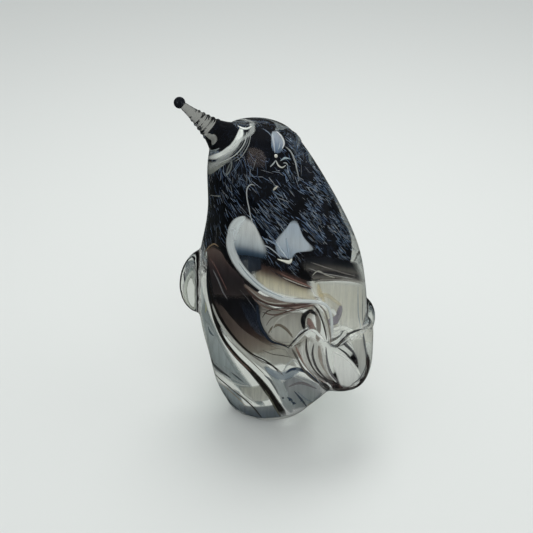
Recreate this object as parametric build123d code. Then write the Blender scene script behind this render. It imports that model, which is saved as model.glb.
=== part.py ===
from build123d import *
import os
from math import cos, sin, radians, sqrt

# Penguin figurine in solid hot-worked glass, standing on its ground foot.
# The origin is the middle of the foot, +Z is up, the penguin's chest faces -Y and its left side is +X.
# Headings are degrees around the upright axis, from +X towards +Y.

# Body: the clear outer gather, a swelling column of round sections that leans towards the beak
body_height = 125.0
body_radius = 33.5
lean_reach = 7.3
lean_heading = -30.0
# Each row: height share, girth share, lean share
body_station_shares = [
    (0.000, 0.54, 0.00),
    (0.024, 0.59, -0.08),
    (0.056, 0.665, -0.19),
    (0.104, 0.765, -0.38),
    (0.160, 0.86, -0.65),
    (0.240, 0.95, -0.815),
    (0.336, 1.00, -0.78),
    (0.440, 0.986, -0.69),
    (0.544, 0.94, -0.58),
    (0.640, 0.84, -0.455),
    (0.736, 0.73, -0.165),
    (0.832, 0.632, 0.28),
    (0.896, 0.549, 0.56),
    (0.944, 0.455, 0.735),
    (0.980, 0.293, 0.885),
    (1.000, 0.00, 1.00),
]

# Dark core: the inner gather in the head and back, drawn in at the crown and ending in a slanted foot
core_girth_share = 0.63
core_foot_height_share = 0.512
core_foot_slant = 26.0
core_foot_heading = 40.0
core_station_shares = [
    (0.380, 0.98),
    (0.480, 1.00),
    (0.640, 1.00),
    (0.736, 1.00),
    (0.832, 0.98),
    (0.896, 0.90),
    (0.935, 0.66),
    (0.955, 0.00),
]

# Smoky gather: translucent glass from under the core down the beak side
# Each row: height share of the body, girth share of smoky_radius, share of smoky_reach
smoky_radius = 11.0
smoky_reach = 10.0
smoky_station_shares = [
    (0.160, 0.00, 1.00),
    (0.190, 0.25, 1.00),
    (0.270, 0.50, 1.05),
    (0.360, 0.72, 1.05),
    (0.450, 0.92, 0.90),
    (0.530, 1.00, 0.60),
    (0.600, 0.70, 0.40),
    (0.640, 0.00, 0.30),
]

# Ribbons, veils and threads lie along routes.
# Each row: heading, height share, share of the body's girth there, width share
ochre_width = 9.0
ochre_thickness = 2.0
ochre_route_shares = [
    (44.0, 0.535, 0.60, 0.25),
    (58.0, 0.520, 0.64, 0.85),
    (74.0, 0.505, 0.66, 1.00),
    (90.0, 0.492, 0.65, 0.85),
    (104.0, 0.485, 0.62, 0.25),
]

dark_cane_width = 3.0
dark_cane_thickness = 1.6
dark_cane_route_shares = [
    (-16.0, 0.520, 0.74, 0.35),
    (-5.0, 0.436, 0.80, 0.75),
    (8.0, 0.340, 0.81, 0.90),
    (26.0, 0.268, 0.81, 1.00),
    (41.0, 0.215, 0.81, 1.00),
    (57.0, 0.140, 0.82, 1.00),
    (70.0, 0.070, 0.82, 1.00),
    (79.0, 0.030, 0.80, 0.80),
]

fine_cane_width = 1.3
fine_cane_thickness = 1.0
fine_cane_route_shares = [
    (-26.0, 0.270, 0.82, 0.50),
    (-10.0, 0.210, 0.83, 0.80),
    (4.0, 0.160, 0.83, 1.00),
    (21.0, 0.122, 0.83, 1.00),
    (40.0, 0.066, 0.83, 1.00),
    (50.0, 0.034, 0.82, 0.70),
]

pale_ribbon_width = 2.6
pale_ribbon_thickness = 1.0
pale_ribbon_route_shares = [
    (-4.0, 0.470, 0.68, 0.35),
    (7.0, 0.390, 0.69, 0.80),
    (20.0, 0.320, 0.70, 0.90),
    (36.0, 0.265, 0.70, 1.00),
    (52.0, 0.215, 0.70, 0.95),
    (64.0, 0.165, 0.70, 0.60),
    (74.0, 0.110, 0.68, 0.40),
]

milky_swirl_width = 13.0
milky_swirl_thickness = 1.2
milky_swirl_route_shares = [
    (-66.0, 0.420, 0.60, 0.30),
    (-44.0, 0.350, 0.60, 0.80),
    (-20.0, 0.270, 0.60, 1.00),
    (6.0, 0.190, 0.60, 1.00),
    (28.0, 0.130, 0.58, 0.75),
    (46.0, 0.085, 0.55, 0.35),
]

cloud_swirl_width = 12.0
cloud_swirl_thickness = 1.6
cloud_swirl_route_shares = [
    (60.0, 0.215, 0.52, 0.40),
    (76.0, 0.175, 0.55, 0.90),
    (94.0, 0.135, 0.58, 1.00),
    (112.0, 0.100, 0.60, 0.85),
    (130.0, 0.075, 0.60, 0.35),
]

wing_veil_width = 8.0
wing_veil_thickness = 0.9
wing_veil_route_shares = [
    (34.0, 0.765, 0.90, 0.30),
    (26.0, 0.735, 0.90, 0.90),
    (23.0, 0.690, 0.90, 1.00),
    (27.0, 0.648, 0.90, 0.90),
    (36.0, 0.612, 0.90, 0.70),
    (48.0, 0.582, 0.90, 0.55),
    (62.0, 0.556, 0.90, 0.45),
    (76.0, 0.532, 0.90, 0.35),
    (87.0, 0.510, 0.90, 0.25),
]

shoulder_veil_width = 8.0
shoulder_veil_thickness = 0.8
shoulder_veil_route_shares = [
    (75.0, 0.655, 0.80, 0.15),
    (77.0, 0.685, 0.80, 0.55),
    (81.0, 0.715, 0.80, 0.95),
    (87.0, 0.745, 0.80, 0.80),
    (93.0, 0.770, 0.80, 0.25),
]

# White threads: drawn-out wisps of milky glass outside the core
thread_width = 0.7
nape_thread_route_shares = [
    (122.0, 0.925, 0.76, 0.60),
    (123.0, 0.905, 0.77, 1.00),
    (121.0, 0.880, 0.77, 1.00),
    (116.0, 0.845, 0.77, 0.70),
]
cheek_thread_route_shares = [
    (31.0, 0.835, 0.77, 0.60),
    (34.0, 0.805, 0.77, 1.00),
    (36.0, 0.765, 0.77, 1.00),
    (36.0, 0.730, 0.77, 0.60),
]
crown_veil_width = 3.6
crown_veil_thickness = 0.7
crown_veil_route_shares = [
    (128.0, 0.945, 0.77, 0.30),
    (120.0, 0.938, 0.77, 0.90),
    (108.0, 0.930, 0.77, 1.00),
    (98.0, 0.924, 0.77, 0.30),
]

# Star: a milky flower of drawn petals round a white dot, on the back of the head
star_heading = 93.0
star_height_share = 0.912
star_girth_share = 0.79
star_petals = 6
star_petal_length = 3.0
star_petal_width = 0.7
star_petal_thickness = 0.5
star_bubble_radius = 0.8

# Frit: chips stretched along the twist of the body
frit_count = 24
frit_length = 5.0
frit_width = 0.8
frit_thickness = 0.4
frit_low_share = 0.545
frit_high_share = 0.885
frit_girth_share = 0.685
frit_turn = 137.5
frit_slope = 61.0
frit_length_shares = [1.00, 0.60, 0.85, 0.50]

navy_count = 4
navy_length = 1.8
navy_width = 1.1
navy_thickness = 0.5
navy_heading = 62.0
navy_spacing = 7.0
navy_height_share = 0.105
navy_rise_share = 0.012
navy_girth_share = 0.91

# Beak: drawn out of the head, turned to the left side and raised
beak_heading = -30.0
beak_rise = 42.3
beak_root_height_share = 0.84
beak_root_reach = 11.4
beak_length = 27.8
beak_radius = 10.6
# Each row: share of beak_length from the root of the beak, share of beak_radius
beak_flare_shares = [
    (0.000, 1.16),
    (0.178, 0.96),
    (0.307, 0.70),
    (0.411, 0.50),
]
ring_count = 4
ring_first_share = 0.50
ring_pitch_share = 0.0786
ring_radius_share = 0.37
ring_taper_share = 0.04
ring_depth = 0.22
beak_wrist_place_share = 0.886
beak_wrist_share = 0.19
beak_neck_share = 0.15
tip_radius = 2.1
tip_sink = 0.7
heart_radius = 4.6
heart_start_share = 0.03
heart_end_share = 0.51

# Collar: a raised ring of clear glass on the head, round the root of the beak
collar_radius = 10.4
collar_width = 2.6
collar_rise = 0.9

# Wing fold: a thick clear ridge that sweeps from the left shoulder to the tail
fold_width = 14.0
fold_thickness = 4.4
fold_route_shares = [
    (35.0, 0.790, 0.93, 0.30),
    (26.0, 0.742, 1.00, 0.85),
    (22.0, 0.690, 1.00, 1.00),
    (26.0, 0.645, 1.00, 0.95),
    (35.0, 0.608, 1.00, 0.80),
    (48.0, 0.578, 1.00, 0.70),
    (63.0, 0.551, 1.00, 0.62),
    (78.0, 0.526, 1.00, 0.56),
    (89.0, 0.492, 1.00, 0.50),
    (94.0, 0.440, 0.99, 0.46),
    (95.0, 0.385, 0.93, 0.40),
]

# Flippers: clear lobes pulled out of both sides
flipper_reach = 9.5
flipper_width = 4.6
flipper_drop = 15.0
flipper_tilt = 8.0
flipper_seat_share = 0.94
left_flipper_heading = -25.0
left_flipper_height_share = 0.465
left_flipper_size_share = 1.00
right_flipper_heading = 157.0
right_flipper_height_share = 0.295
right_flipper_size_share = 0.70

# Tail lobe: a broad clear pouch drawn out at the back, with a wavy lip round a dished top
tail_height = 59.0
tail_length = 7.7
tail_root_share = 0.597
tail_reach = body_radius + tail_length
tail_root = body_radius * tail_root_share
# Each row: heading, lip and foot as shares of tail_height, share of tail_reach
tail_station_shares = [
    (57.0, 0.788, 0.771, 0.728),
    (61.5, 0.822, 0.746, 0.835),
    (66.0, 0.898, 0.695, 0.864),
    (71.5, 0.975, 0.619, 0.893),
    (76.5, 1.000, 0.551, 0.917),
    (81.0, 0.941, 0.483, 0.937),
    (86.5, 0.847, 0.415, 0.956),
    (90.0, 0.853, 0.373, 0.968),
    (96.0, 0.890, 0.322, 0.985),
    (103.0, 0.910, 0.280, 1.000),
    (111.0, 0.868, 0.254, 0.995),
    (120.0, 0.831, 0.246, 0.956),
    (130.0, 0.797, 0.246, 0.898),
    (140.0, 0.746, 0.280, 0.835),
    (150.0, 0.680, 0.350, 0.728),
]
# Wall and dished top of the pouch.
# Each row: share of the way from foot to lip, share of the way out from the root
tail_wall_shares = [
    (0.00, 0.28),
    (0.09, 0.60),
    (0.22, 0.88),
    (0.42, 1.00),
    (0.70, 1.01),
    (0.92, 0.99),
    (1.00, 0.95),
]
tail_top_shares = [
    (0.97, 0.86),
    (0.88, 0.60),
    (0.88, 0.00),
    (0.00, 0.00),
]
tail_heading = 100.0
tail_height_share = 0.325
tail_streaks = 3
tail_streak_thickness = 0.7
tail_streak_spacing = 2.6
tail_streak_narrowing = 2.0
tail_streak_reach_share = 0.86
tail_streak_spread = 9.1
tail_streak_drop = 10.7


def between(stations, height, column):
    """Value of a column at a height share, in a straight line between two stations."""
    for low, high in zip(stations, stations[1:]):
        if height <= high[0]:
            step = (height - low[0]) / (high[0] - low[0])
            return low[column] + (high[column] - low[column]) * step
    return stations[-1][column]


def outward(heading):
    """Level unit vector towards a heading."""
    return Vector(cos(radians(heading)), sin(radians(heading)), 0)


def middle(height):
    """Middle of the body at a height share."""
    lean = lean_reach * between(body_station_shares, height, 2)
    return outward(lean_heading) * lean + Vector(0, 0, body_height * height)


def girth(height):
    """Radius of the body at a height share."""
    return body_radius * between(body_station_shares, height, 1)


def in_body(heading, height, share):
    """Point at a share of the way from the middle of the body to its skin."""
    return middle(height) + outward(heading) * (girth(height) * share)


def disc(centre, radius):
    """Level round section."""
    return Plane(centre) * Circle(radius)


def column(rows):
    """Upright solid through round sections of (centre, radius), pointed where the radius is zero."""
    sections = [disc(centre, radius) if radius > 0 else Vertex(*centre) for centre, radius in rows]
    return loft(sections)


def blade(width, thickness):
    """Six-sided flat section with blunt edges."""
    side = width / 2
    edge = thickness / 2
    upper = [(side, 0), (side / 2, edge), (-side / 2, edge)]
    lower = [(-side, 0), (-side / 2, -edge), (side / 2, -edge)]
    return make_face(Polyline(*upper, *lower, close=True))


def oval(width, thickness):
    """Oval section."""
    return Ellipse(width / 2, thickness / 2)


def ribbon(route, width, thickness, section=blade):
    """Flat strand through the body: sections square to a route, lying along the skin."""
    points = [in_body(*place) for *place, _ in route]
    sections = []
    for index, (heading, *_, width_share) in enumerate(route):
        ahead = points[min(index + 1, len(points) - 1)]
        behind = points[max(index - 1, 0)]
        along = (ahead - behind).normalized()
        across = along.cross(outward(heading)).normalized()
        plane = Plane(origin=points[index], x_dir=across, z_dir=along)
        sections.append(plane * section(width * width_share, thickness * sqrt(width_share)))
    return loft(sections)


def thread(route):
    """Round wisp along a route."""
    return ribbon(route, thread_width, thread_width)


def body(rise=0):
    """The whole outline of the outer gather, foot to crown, or a skin that stands a rise outside it."""
    rows = []
    for height, share, _ in body_station_shares:
        rows.append((middle(height) + Vector(0, 0, rise * height), body_radius * share + rise * (share > 0)))
    return column(rows)


def core():
    """Dark inner gather, a share of the body's girth, with its slanted foot highest on the left side."""
    rows = []
    for height, share in core_station_shares:
        rows.append((middle(height), girth(height) * core_girth_share * share))
    upright = Vector(0, 0, 1) * cos(radians(core_foot_slant))
    normal = upright - outward(core_foot_heading) * sin(radians(core_foot_slant))
    foot = Plane(origin=middle(core_foot_height_share), z_dir=normal)
    return split(column(rows), bisect_by=foot, keep=Keep.TOP)


def smoky():
    """Tongue of smoky glass under the core, drawn down on the beak side."""
    rows = []
    for height, share, reach in smoky_station_shares:
        centre = middle(height) + outward(lean_heading) * (smoky_reach * reach)
        rows.append((centre, smoky_radius * share))
    return column(rows)


def chip(centre, heading, slope, length, width, thickness):
    """One stretched chip of frit, lying along the skin and running down at a slope."""
    tangent = outward(heading + 90)
    along = tangent * cos(radians(slope)) - Vector(0, 0, 1) * sin(radians(slope))
    plane = Plane(origin=centre, x_dir=along, z_dir=outward(heading))
    return plane * Box(length, width, thickness)


def white_frit():
    """Chips spread round the core by a steady turn."""
    chips = []
    for index in range(frit_count):
        share = (index + 1 / 2) / frit_count
        height = frit_low_share + (frit_high_share - frit_low_share) * share
        heading = index * frit_turn
        length = frit_length * frit_length_shares[index % len(frit_length_shares)]
        centre = in_body(heading, height, frit_girth_share)
        chips.append(chip(centre, heading, frit_slope, length, frit_width, frit_thickness))
    return chips


def navy_frit():
    """A short row of dark chips low in the back."""
    chips = []
    for index in range(navy_count):
        heading = navy_heading + navy_spacing * index
        height = navy_height_share + navy_rise_share * (index % 2)
        centre = in_body(heading, height, navy_girth_share)
        chips.append(chip(centre, heading, 0, navy_length, navy_width, navy_thickness))
    return chips


def star():
    """Petals and dot of the milky star, in the plane of the skin."""
    centre = in_body(star_heading, star_height_share, star_girth_share)
    plane = Plane(origin=centre, x_dir=outward(star_heading + 90), z_dir=outward(star_heading))
    bubble = plane * Sphere(star_bubble_radius)
    petals = []
    for index in range(star_petals):
        start = star_bubble_radius + star_petal_length / 2
        petal = Pos(start, 0, 0) * Box(star_petal_length, star_petal_width, star_petal_thickness)
        petals.append(plane * Rot(0, 0, 360 * index / star_petals) * petal)
    return petals, bubble


def beak_plane():
    """Plane square to the beak, in the middle of the head."""
    direction = outward(beak_heading) * cos(radians(beak_rise)) + Vector(0, 0, 1) * sin(radians(beak_rise))
    return Plane(origin=middle(beak_root_height_share), z_dir=direction)


def along_beak(share):
    """Distance from the middle of the head to a share of the beak's free length."""
    return beak_root_reach + beak_length * share


def turned(points):
    """Solid of revolution round the beak's axis, from (distance along it, radius) points."""
    outline = Spline(*[(radius, distance) for distance, radius in points])
    first = points[0]
    last = points[-1]
    closing = Polyline((last[1], last[0]), (0, last[0]), (0, first[0]), (first[1], first[0]))
    profile = make_face(Plane.XZ * Curve([outline, closing]))
    return beak_plane() * revolve(profile, Axis.Z)


def beak():
    """Flared root, ringed shaft and thin neck of the beak."""
    points = [(along_beak(place), beak_radius * share) for place, share in beak_flare_shares]
    for index in range(ring_count):
        place = along_beak(ring_first_share + ring_pitch_share * index)
        radius = beak_radius * (ring_radius_share - ring_taper_share * index)
        points.append((place, radius - ring_depth))
        points.append((place + beak_length * ring_pitch_share / 2, radius))
    points.append((along_beak(beak_wrist_place_share), beak_radius * beak_wrist_share))
    points.append((along_beak(1), beak_radius * beak_neck_share))
    return turned(points)


def beak_tip():
    """Bead at the end of the beak."""
    return beak_plane() * Pos(0, 0, along_beak(1) + tip_radius - tip_sink) * Sphere(tip_radius)


def beak_heart():
    """Dark glass in the root of the beak, wider towards the head."""
    half_length = beak_length * (heart_end_share - heart_start_share) / 2
    place = along_beak((heart_end_share + heart_start_share) / 2)
    shape = scale(Sphere(1), by=(heart_radius, heart_radius, half_length))
    return beak_plane() * Pos(0, 0, place) * shape


def collar():
    """Band of the head's skin, raised and cut to a ring round the beak."""
    length = along_beak(1)
    tube = Cylinder(collar_radius + collar_width, length) - Cylinder(collar_radius, length)
    return body(collar_rise) & (beak_plane() * Pos(0, 0, length / 2) * tube)


def flipper(heading, height, size):
    """Clear pulled lobe, an egg that stands out of the side and hangs a little outwards."""
    seat = in_body(heading, height, flipper_seat_share)
    egg = scale(Sphere(1), by=(flipper_reach * size, flipper_width * size, flipper_drop * size))
    plane = Plane(origin=seat, x_dir=outward(heading), z_dir=(0, 0, 1))
    return plane * Rot(0, -flipper_tilt, 0) * egg


def tail_plane(reach, drop):
    """Upright plane across the tail at a reach from the middle of the body, lowered by a drop."""
    centre = middle(tail_height_share) + outward(tail_heading) * reach - Vector(0, 0, drop)
    return Plane(origin=centre, x_dir=outward(tail_heading + 90), z_dir=outward(tail_heading))


def tail_section(heading, lip_share, foot_share, reach_share):
    """Upright section of the pouch, from its wall over the lip and across its dished top."""
    foot = tail_height * foot_share
    rise = tail_height * lip_share - foot
    out = tail_reach * reach_share - tail_root
    wall, top = [
        [(tail_root + out * far, foot + rise * high) for high, far in shares]
        for shares in (tail_wall_shares, tail_top_shares)
    ]
    centre = middle(tail_height_share)
    upright = Plane(origin=(centre.X, centre.Y, 0), x_dir=outward(heading), z_dir=outward(heading - 90))
    return upright * make_face(Curve([Spline(*wall), Polyline(wall[-1], *top, wall[0])]))


def tail():
    """Pouch through upright sections round the body."""
    return loft([tail_section(*station) for station in tail_station_shares])


def tail_veil():
    """Nested streaks across the lobe, each a bowed trail, the smallest on top."""
    streaks = []
    for index in range(tail_streaks):
        drop = tail_streak_drop - tail_streak_spacing * index
        spread = tail_streak_spread - tail_streak_narrowing * index
        plane = tail_plane(tail_reach * tail_streak_reach_share, drop)
        arc = ThreePointArc((-spread, spread), (0, 0), (spread, spread))
        band = Plane(origin=arc @ 0, z_dir=arc % 0) * Circle(tail_streak_thickness / 2)
        streaks.append(plane * sweep(band, path=arc))
    return streaks


def write(name, *shapes):
    """Write one node's solids to its own file."""
    solids = [solid for shape in shapes for solid in shape.solids()]
    export_step(Compound(solids) if len(solids) > 1 else solids[0], "parts/" + name + ".step")


def without(shape, *others):
    """Shape with the space of the others cut away."""
    return shape.cut(*[solid for other in others for solid in other.solids()])


def main():
    os.makedirs("parts", exist_ok=True)
    skin = body()

    # Inner glass, from the middle outwards, each piece cut by those inside it
    dark_core = core()
    smoky_gather = without(smoky(), dark_core)
    beak_heart_glass = without(beak_heart(), dark_core)
    ochre_tongue = without(ribbon(ochre_route_shares, ochre_width, ochre_thickness), dark_core)
    dark_cane = ribbon(dark_cane_route_shares, dark_cane_width, dark_cane_thickness)
    fine_cane = ribbon(fine_cane_route_shares, fine_cane_width, fine_cane_thickness)
    pale_ribbon = ribbon(pale_ribbon_route_shares, pale_ribbon_width, pale_ribbon_thickness)
    milky_swirl = ribbon(milky_swirl_route_shares, milky_swirl_width, milky_swirl_thickness)
    milky_swirl = without(milky_swirl, smoky_gather)
    cloud_swirl = ribbon(cloud_swirl_route_shares, cloud_swirl_width, cloud_swirl_thickness)
    wing_veil = ribbon(wing_veil_route_shares, wing_veil_width, wing_veil_thickness)
    shoulder_veil = ribbon(shoulder_veil_route_shares, shoulder_veil_width, shoulder_veil_thickness)
    crown_veil = ribbon(crown_veil_route_shares, crown_veil_width, crown_veil_thickness)
    nape_thread = thread(nape_thread_route_shares)
    cheek_thread = thread(cheek_thread_route_shares)
    petals, bubble = star()
    frit = white_frit()
    navy = navy_frit()

    inner = {
        "dark_core": [dark_core],
        "smoky_gather": [smoky_gather],
        "beak_heart": [beak_heart_glass],
        "ochre_tongue": [ochre_tongue],
        "dark_cane": [dark_cane],
        "fine_cane": [fine_cane],
        "pale_ribbon": [pale_ribbon],
        "milky_swirl": [milky_swirl],
        "cloud_swirl": [cloud_swirl],
        "wing_veil": [wing_veil],
        "shoulder_veil": [shoulder_veil],
        "crown_veil": [crown_veil],
        "nape_thread": [nape_thread],
        "cheek_thread": [cheek_thread],
        "star_trail": petals,
        "star_bubble": [bubble],
        "white_frit": frit,
        "navy_frit": navy,
    }
    for name, shapes in inner.items():
        write(name, *shapes)

    # Outer gather with the inner glass cut out of it
    casing = without(skin, *[shape for shapes in inner.values() for shape in shapes])
    write("casing", casing)

    # Glass drawn out of the skin, each cut where it is fused to its neighbour
    beak_glass = without(beak(), skin, beak_heart_glass)
    write("beak", beak_glass)
    write("beak_tip", without(beak_tip(), beak()))
    write("collar", without(collar(), skin, beak()))
    tail_streak_glass = tail_veil()
    tail_shape = tail()
    write("tail_veil", *[without(streak, skin) for streak in tail_streak_glass])
    write("tail_lobe", without(tail_shape, skin, *tail_streak_glass))
    fold = ribbon(fold_route_shares, fold_width, fold_thickness, oval)
    write("wing_fold", without(fold, skin, tail_shape))
    left = flipper(left_flipper_heading, left_flipper_height_share, left_flipper_size_share)
    right = flipper(right_flipper_heading, right_flipper_height_share, right_flipper_size_share)
    write("left_flipper", without(left, skin))
    write("right_flipper", without(right, skin, tail_shape))


main()
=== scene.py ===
import math
import random

import bmesh
import bpy
from bpy.props import FloatProperty, IntProperty, PointerProperty, StringProperty
from mathutils import Matrix, Vector, noise
from mathutils.bvhtree import BVHTree


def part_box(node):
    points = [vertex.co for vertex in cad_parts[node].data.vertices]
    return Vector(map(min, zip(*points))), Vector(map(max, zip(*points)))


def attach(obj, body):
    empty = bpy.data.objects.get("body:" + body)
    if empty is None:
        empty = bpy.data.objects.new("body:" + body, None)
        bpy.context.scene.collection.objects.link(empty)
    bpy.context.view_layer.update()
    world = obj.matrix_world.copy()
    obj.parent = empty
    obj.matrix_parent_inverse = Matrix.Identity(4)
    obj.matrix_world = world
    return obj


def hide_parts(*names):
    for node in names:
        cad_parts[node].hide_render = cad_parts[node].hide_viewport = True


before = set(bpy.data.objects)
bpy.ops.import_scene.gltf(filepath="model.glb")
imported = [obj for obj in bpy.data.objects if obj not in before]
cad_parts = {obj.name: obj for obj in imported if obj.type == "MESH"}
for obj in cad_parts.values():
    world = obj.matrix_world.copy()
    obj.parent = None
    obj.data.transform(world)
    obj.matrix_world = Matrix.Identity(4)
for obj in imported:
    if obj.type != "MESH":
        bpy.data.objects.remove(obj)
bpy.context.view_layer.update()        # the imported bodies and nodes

bl_info = {
    "name": "Art glass penguin",
    "version": (1, 0, 0),
    "blender": (4, 5, 0),
    "location": "3D View > Sidebar > Glass",
    "description": "Clear and coloured glass for the packed penguin figurine",
    "category": "Object",
}

MM = 0.001
BODY = "root"

# Headings are degrees round the upright axis, from +X towards +Y. Heights and lengths are millimetres.

# Camera, as the photograph was taken
PHOTO_WIDTH = 533
VIEW_AZIMUTH = 150.0
VIEW_ELEVATION = 32.0
VIEW_DISTANCE = 430.0
VIEW_TARGET = (0.98, -0.57, 63.04)
SENSOR_WIDTH = 36.0
PIXELS_PER_MM = 2.55

# Refractive index of the clear glass
GLASS_IOR = 1.5

# sRGB: where its straight part ends, that part's slope, and the offset and power of the rest
SRGB_KNEE = 0.04045
SRGB_SLOPE = 12.92
SRGB_OFFSET = 0.055
SRGB_POWER = 2.4

# Beak: direction, and its profile as (distance from the middle of the head, radius)
BEAK_HEADING = -30.0
BEAK_RISE = 42.3
BEAK_LENGTH = 40.6
BEAK_PROFILE = [
    (6.0, 9.0), (9.5, 11.6), (12.6, 11.3), (15.6, 10.1), (18.6, 8.2), (21.6, 6.1), (24.6, 4.6),
    (28.0, 3.6), (31.8, 2.7), (35.4, 1.95), (38.0, 1.6), (39.5, 1.5),
]
RING_START = 23.6
RING_END = 34.5
RING_PITCH = 1.9
RING_FADE_IN = 2.0
RING_FADE_OUT = 1.5

# Fold: the crest of the clear ridge over the left shoulder, as photo x, photo y, width and rise
FOLD_ROUTE = [
    (246, 214, 5.0, 0.0),
    (236, 225, 8.0, 1.4),
    (230, 242, 9.5, 2.2),
    (234, 261, 9.0, 2.4),
    (247, 280, 8.0, 2.5),
    (265, 293, 7.0, 2.6),
    (287, 301, 6.0, 2.7),
    (308, 303, 5.5, 2.9),
    (322, 306, 5.0, 3.0),
    (330, 316, 4.6, 3.0),
    (333, 330, 4.2, 2.6),
    (333, 345, 4.0, 1.8),
]

# Tail pouch, each row: heading, height of its lip, height of its foot, reach from the body's middle
TAIL_ROWS = [
    (57.0, 46.5, 45.5, 30.0), (61.5, 48.5, 44.0, 34.4), (66.0, 53.0, 41.0, 35.6), (71.5, 57.5, 36.5, 36.8),
    (76.5, 59.0, 32.5, 37.8), (81.0, 55.5, 28.5, 38.6), (86.5, 50.0, 24.5, 39.4), (90.0, 50.3, 22.0, 39.9),
    (96.0, 52.5, 19.0, 40.6), (103.0, 53.7, 16.5, 41.2), (111.0, 51.2, 15.0, 41.0),
    (120.0, 49.0, 14.5, 39.4), (130.0, 47.0, 14.5, 37.0), (140.0, 44.0, 16.5, 34.4),
    (150.0, 40.1, 20.7, 30.0),
]
TAIL_MIDDLE = 40.6
TAIL_ROOT = 20.0
# Its wall from foot to lip and its dished top, each row: share of the way up and share of the way out
TAIL_WALL = [(0, 0.28), (0.09, 0.60), (0.22, 0.88), (0.42, 1), (0.70, 1.01), (0.92, 0.99), (1, 0.95)]
TAIL_TOP = [(0.97, 0.86), (0.88, 0.60), (0.88, 0.00), (0.00, 0.00)]

# Flippers, each row: heading, height, size
FLIPPERS = [(-25.0, 58.1, 1.0), (157.0, 36.9, 0.7)]
FLIPPER_HALF = (9.5, 4.6, 15.0)
FLIPPER_TILT = 8.0
FLIPPER_SEAT = 0.94

# Dark core: height and share of the girth
CORE_ROWS = [
    (64.0, 0.02), (64.3, 0.37), (64.9, 0.53), (66.0, 0.585), (68.0, 0.608), (74.0, 0.612), (82.0, 0.608),
    (92.0, 0.598), (102.0, 0.582), (108.0, 0.545), (112.0, 0.47), (114.6, 0.36), (115.8, 0.22),
    (116.2, 0.02),
]
# Height of its foot by heading, and the span over which that evens out
CORE_FOOT = [
    (-180.0, 62.0), (-90.0, 62.0), (-30.0, 67.0), (20.0, 78.0), (46.0, 80.0), (60.0, 75.5), (72.0, 71.0),
    (80.0, 70.5), (87.0, 76.0), (95.0, 75.5), (107.0, 70.0), (120.0, 63.5), (135.0, 60.0), (180.0, 62.0),
]
CORE_FADE = 26.0
# How strongly milky streaks show in the core and in the beak's bead
CORE_STREAKS = 0.5
BEAD_STREAKS = 0.8
# The core sits nearer to the beak's side by a length, which sets in and goes out over two spans of height
CORE_SHIFT = 2.0
CORE_SHIFT_START = (60.0, 72.0)
CORE_SHIFT_END = (104.0, 116.0)

# Smoky gather: height, radius and distance from the body's middle, towards the beak
SMOKE_ROWS = [
    (36.0, 0.3, 15.0), (40.0, 2.4, 15.0), (48.0, 4.8, 14.5), (56.0, 6.8, 13.5), (64.0, 8.2, 12.0),
    (72.0, 8.8, 11.0), (78.0, 6.0, 10.0), (80.0, 0.3, 10.0),
]
SMOKE_HEADING = -30.0
SMOKE_THICKNESS = 30.0

# Collar: distance of its ring from the beak's axis, its width, thickness, depth under the skin and cover
COLLAR_REACH = 11.2
COLLAR_WIDTH = 2.4
COLLAR_THICKNESS = 0.5
COLLAR_DEPTH = 0.6
COLLAR_COVER = 0.3

# Routes on the far side of the body, each row: heading, height, share of the girth, width
MILKY_ROUTE = [
    (-66.0, 52.5, 0.60, 4.0), (-44.0, 43.8, 0.60, 10.0), (-20.0, 33.8, 0.60, 12.0), (6.0, 23.8, 0.60, 10.0),
    (28.0, 16.2, 0.58, 6.0), (46.0, 10.6, 0.55, 2.0),
]
CLOUD_ROUTE = [
    (60.0, 26.9, 0.52, 4.0), (76.0, 21.9, 0.55, 9.0), (94.0, 16.9, 0.58, 11.0), (112.0, 12.5, 0.60, 9.0),
    (130.0, 9.4, 0.60, 3.0),
]
# Thickness of both swirls, and how strongly they cover
SWIRL_THICKNESS = 0.8
SWIRL_COVER = 0.8

# Laid glass, placed and coloured where the photograph shows it.
# Threads by node: colour, cover, depth under the skin, then photo x, photo y and width in pixels.
# Panes by node: cover, depth, then rows of one colour and the photo points across the pane.

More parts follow.
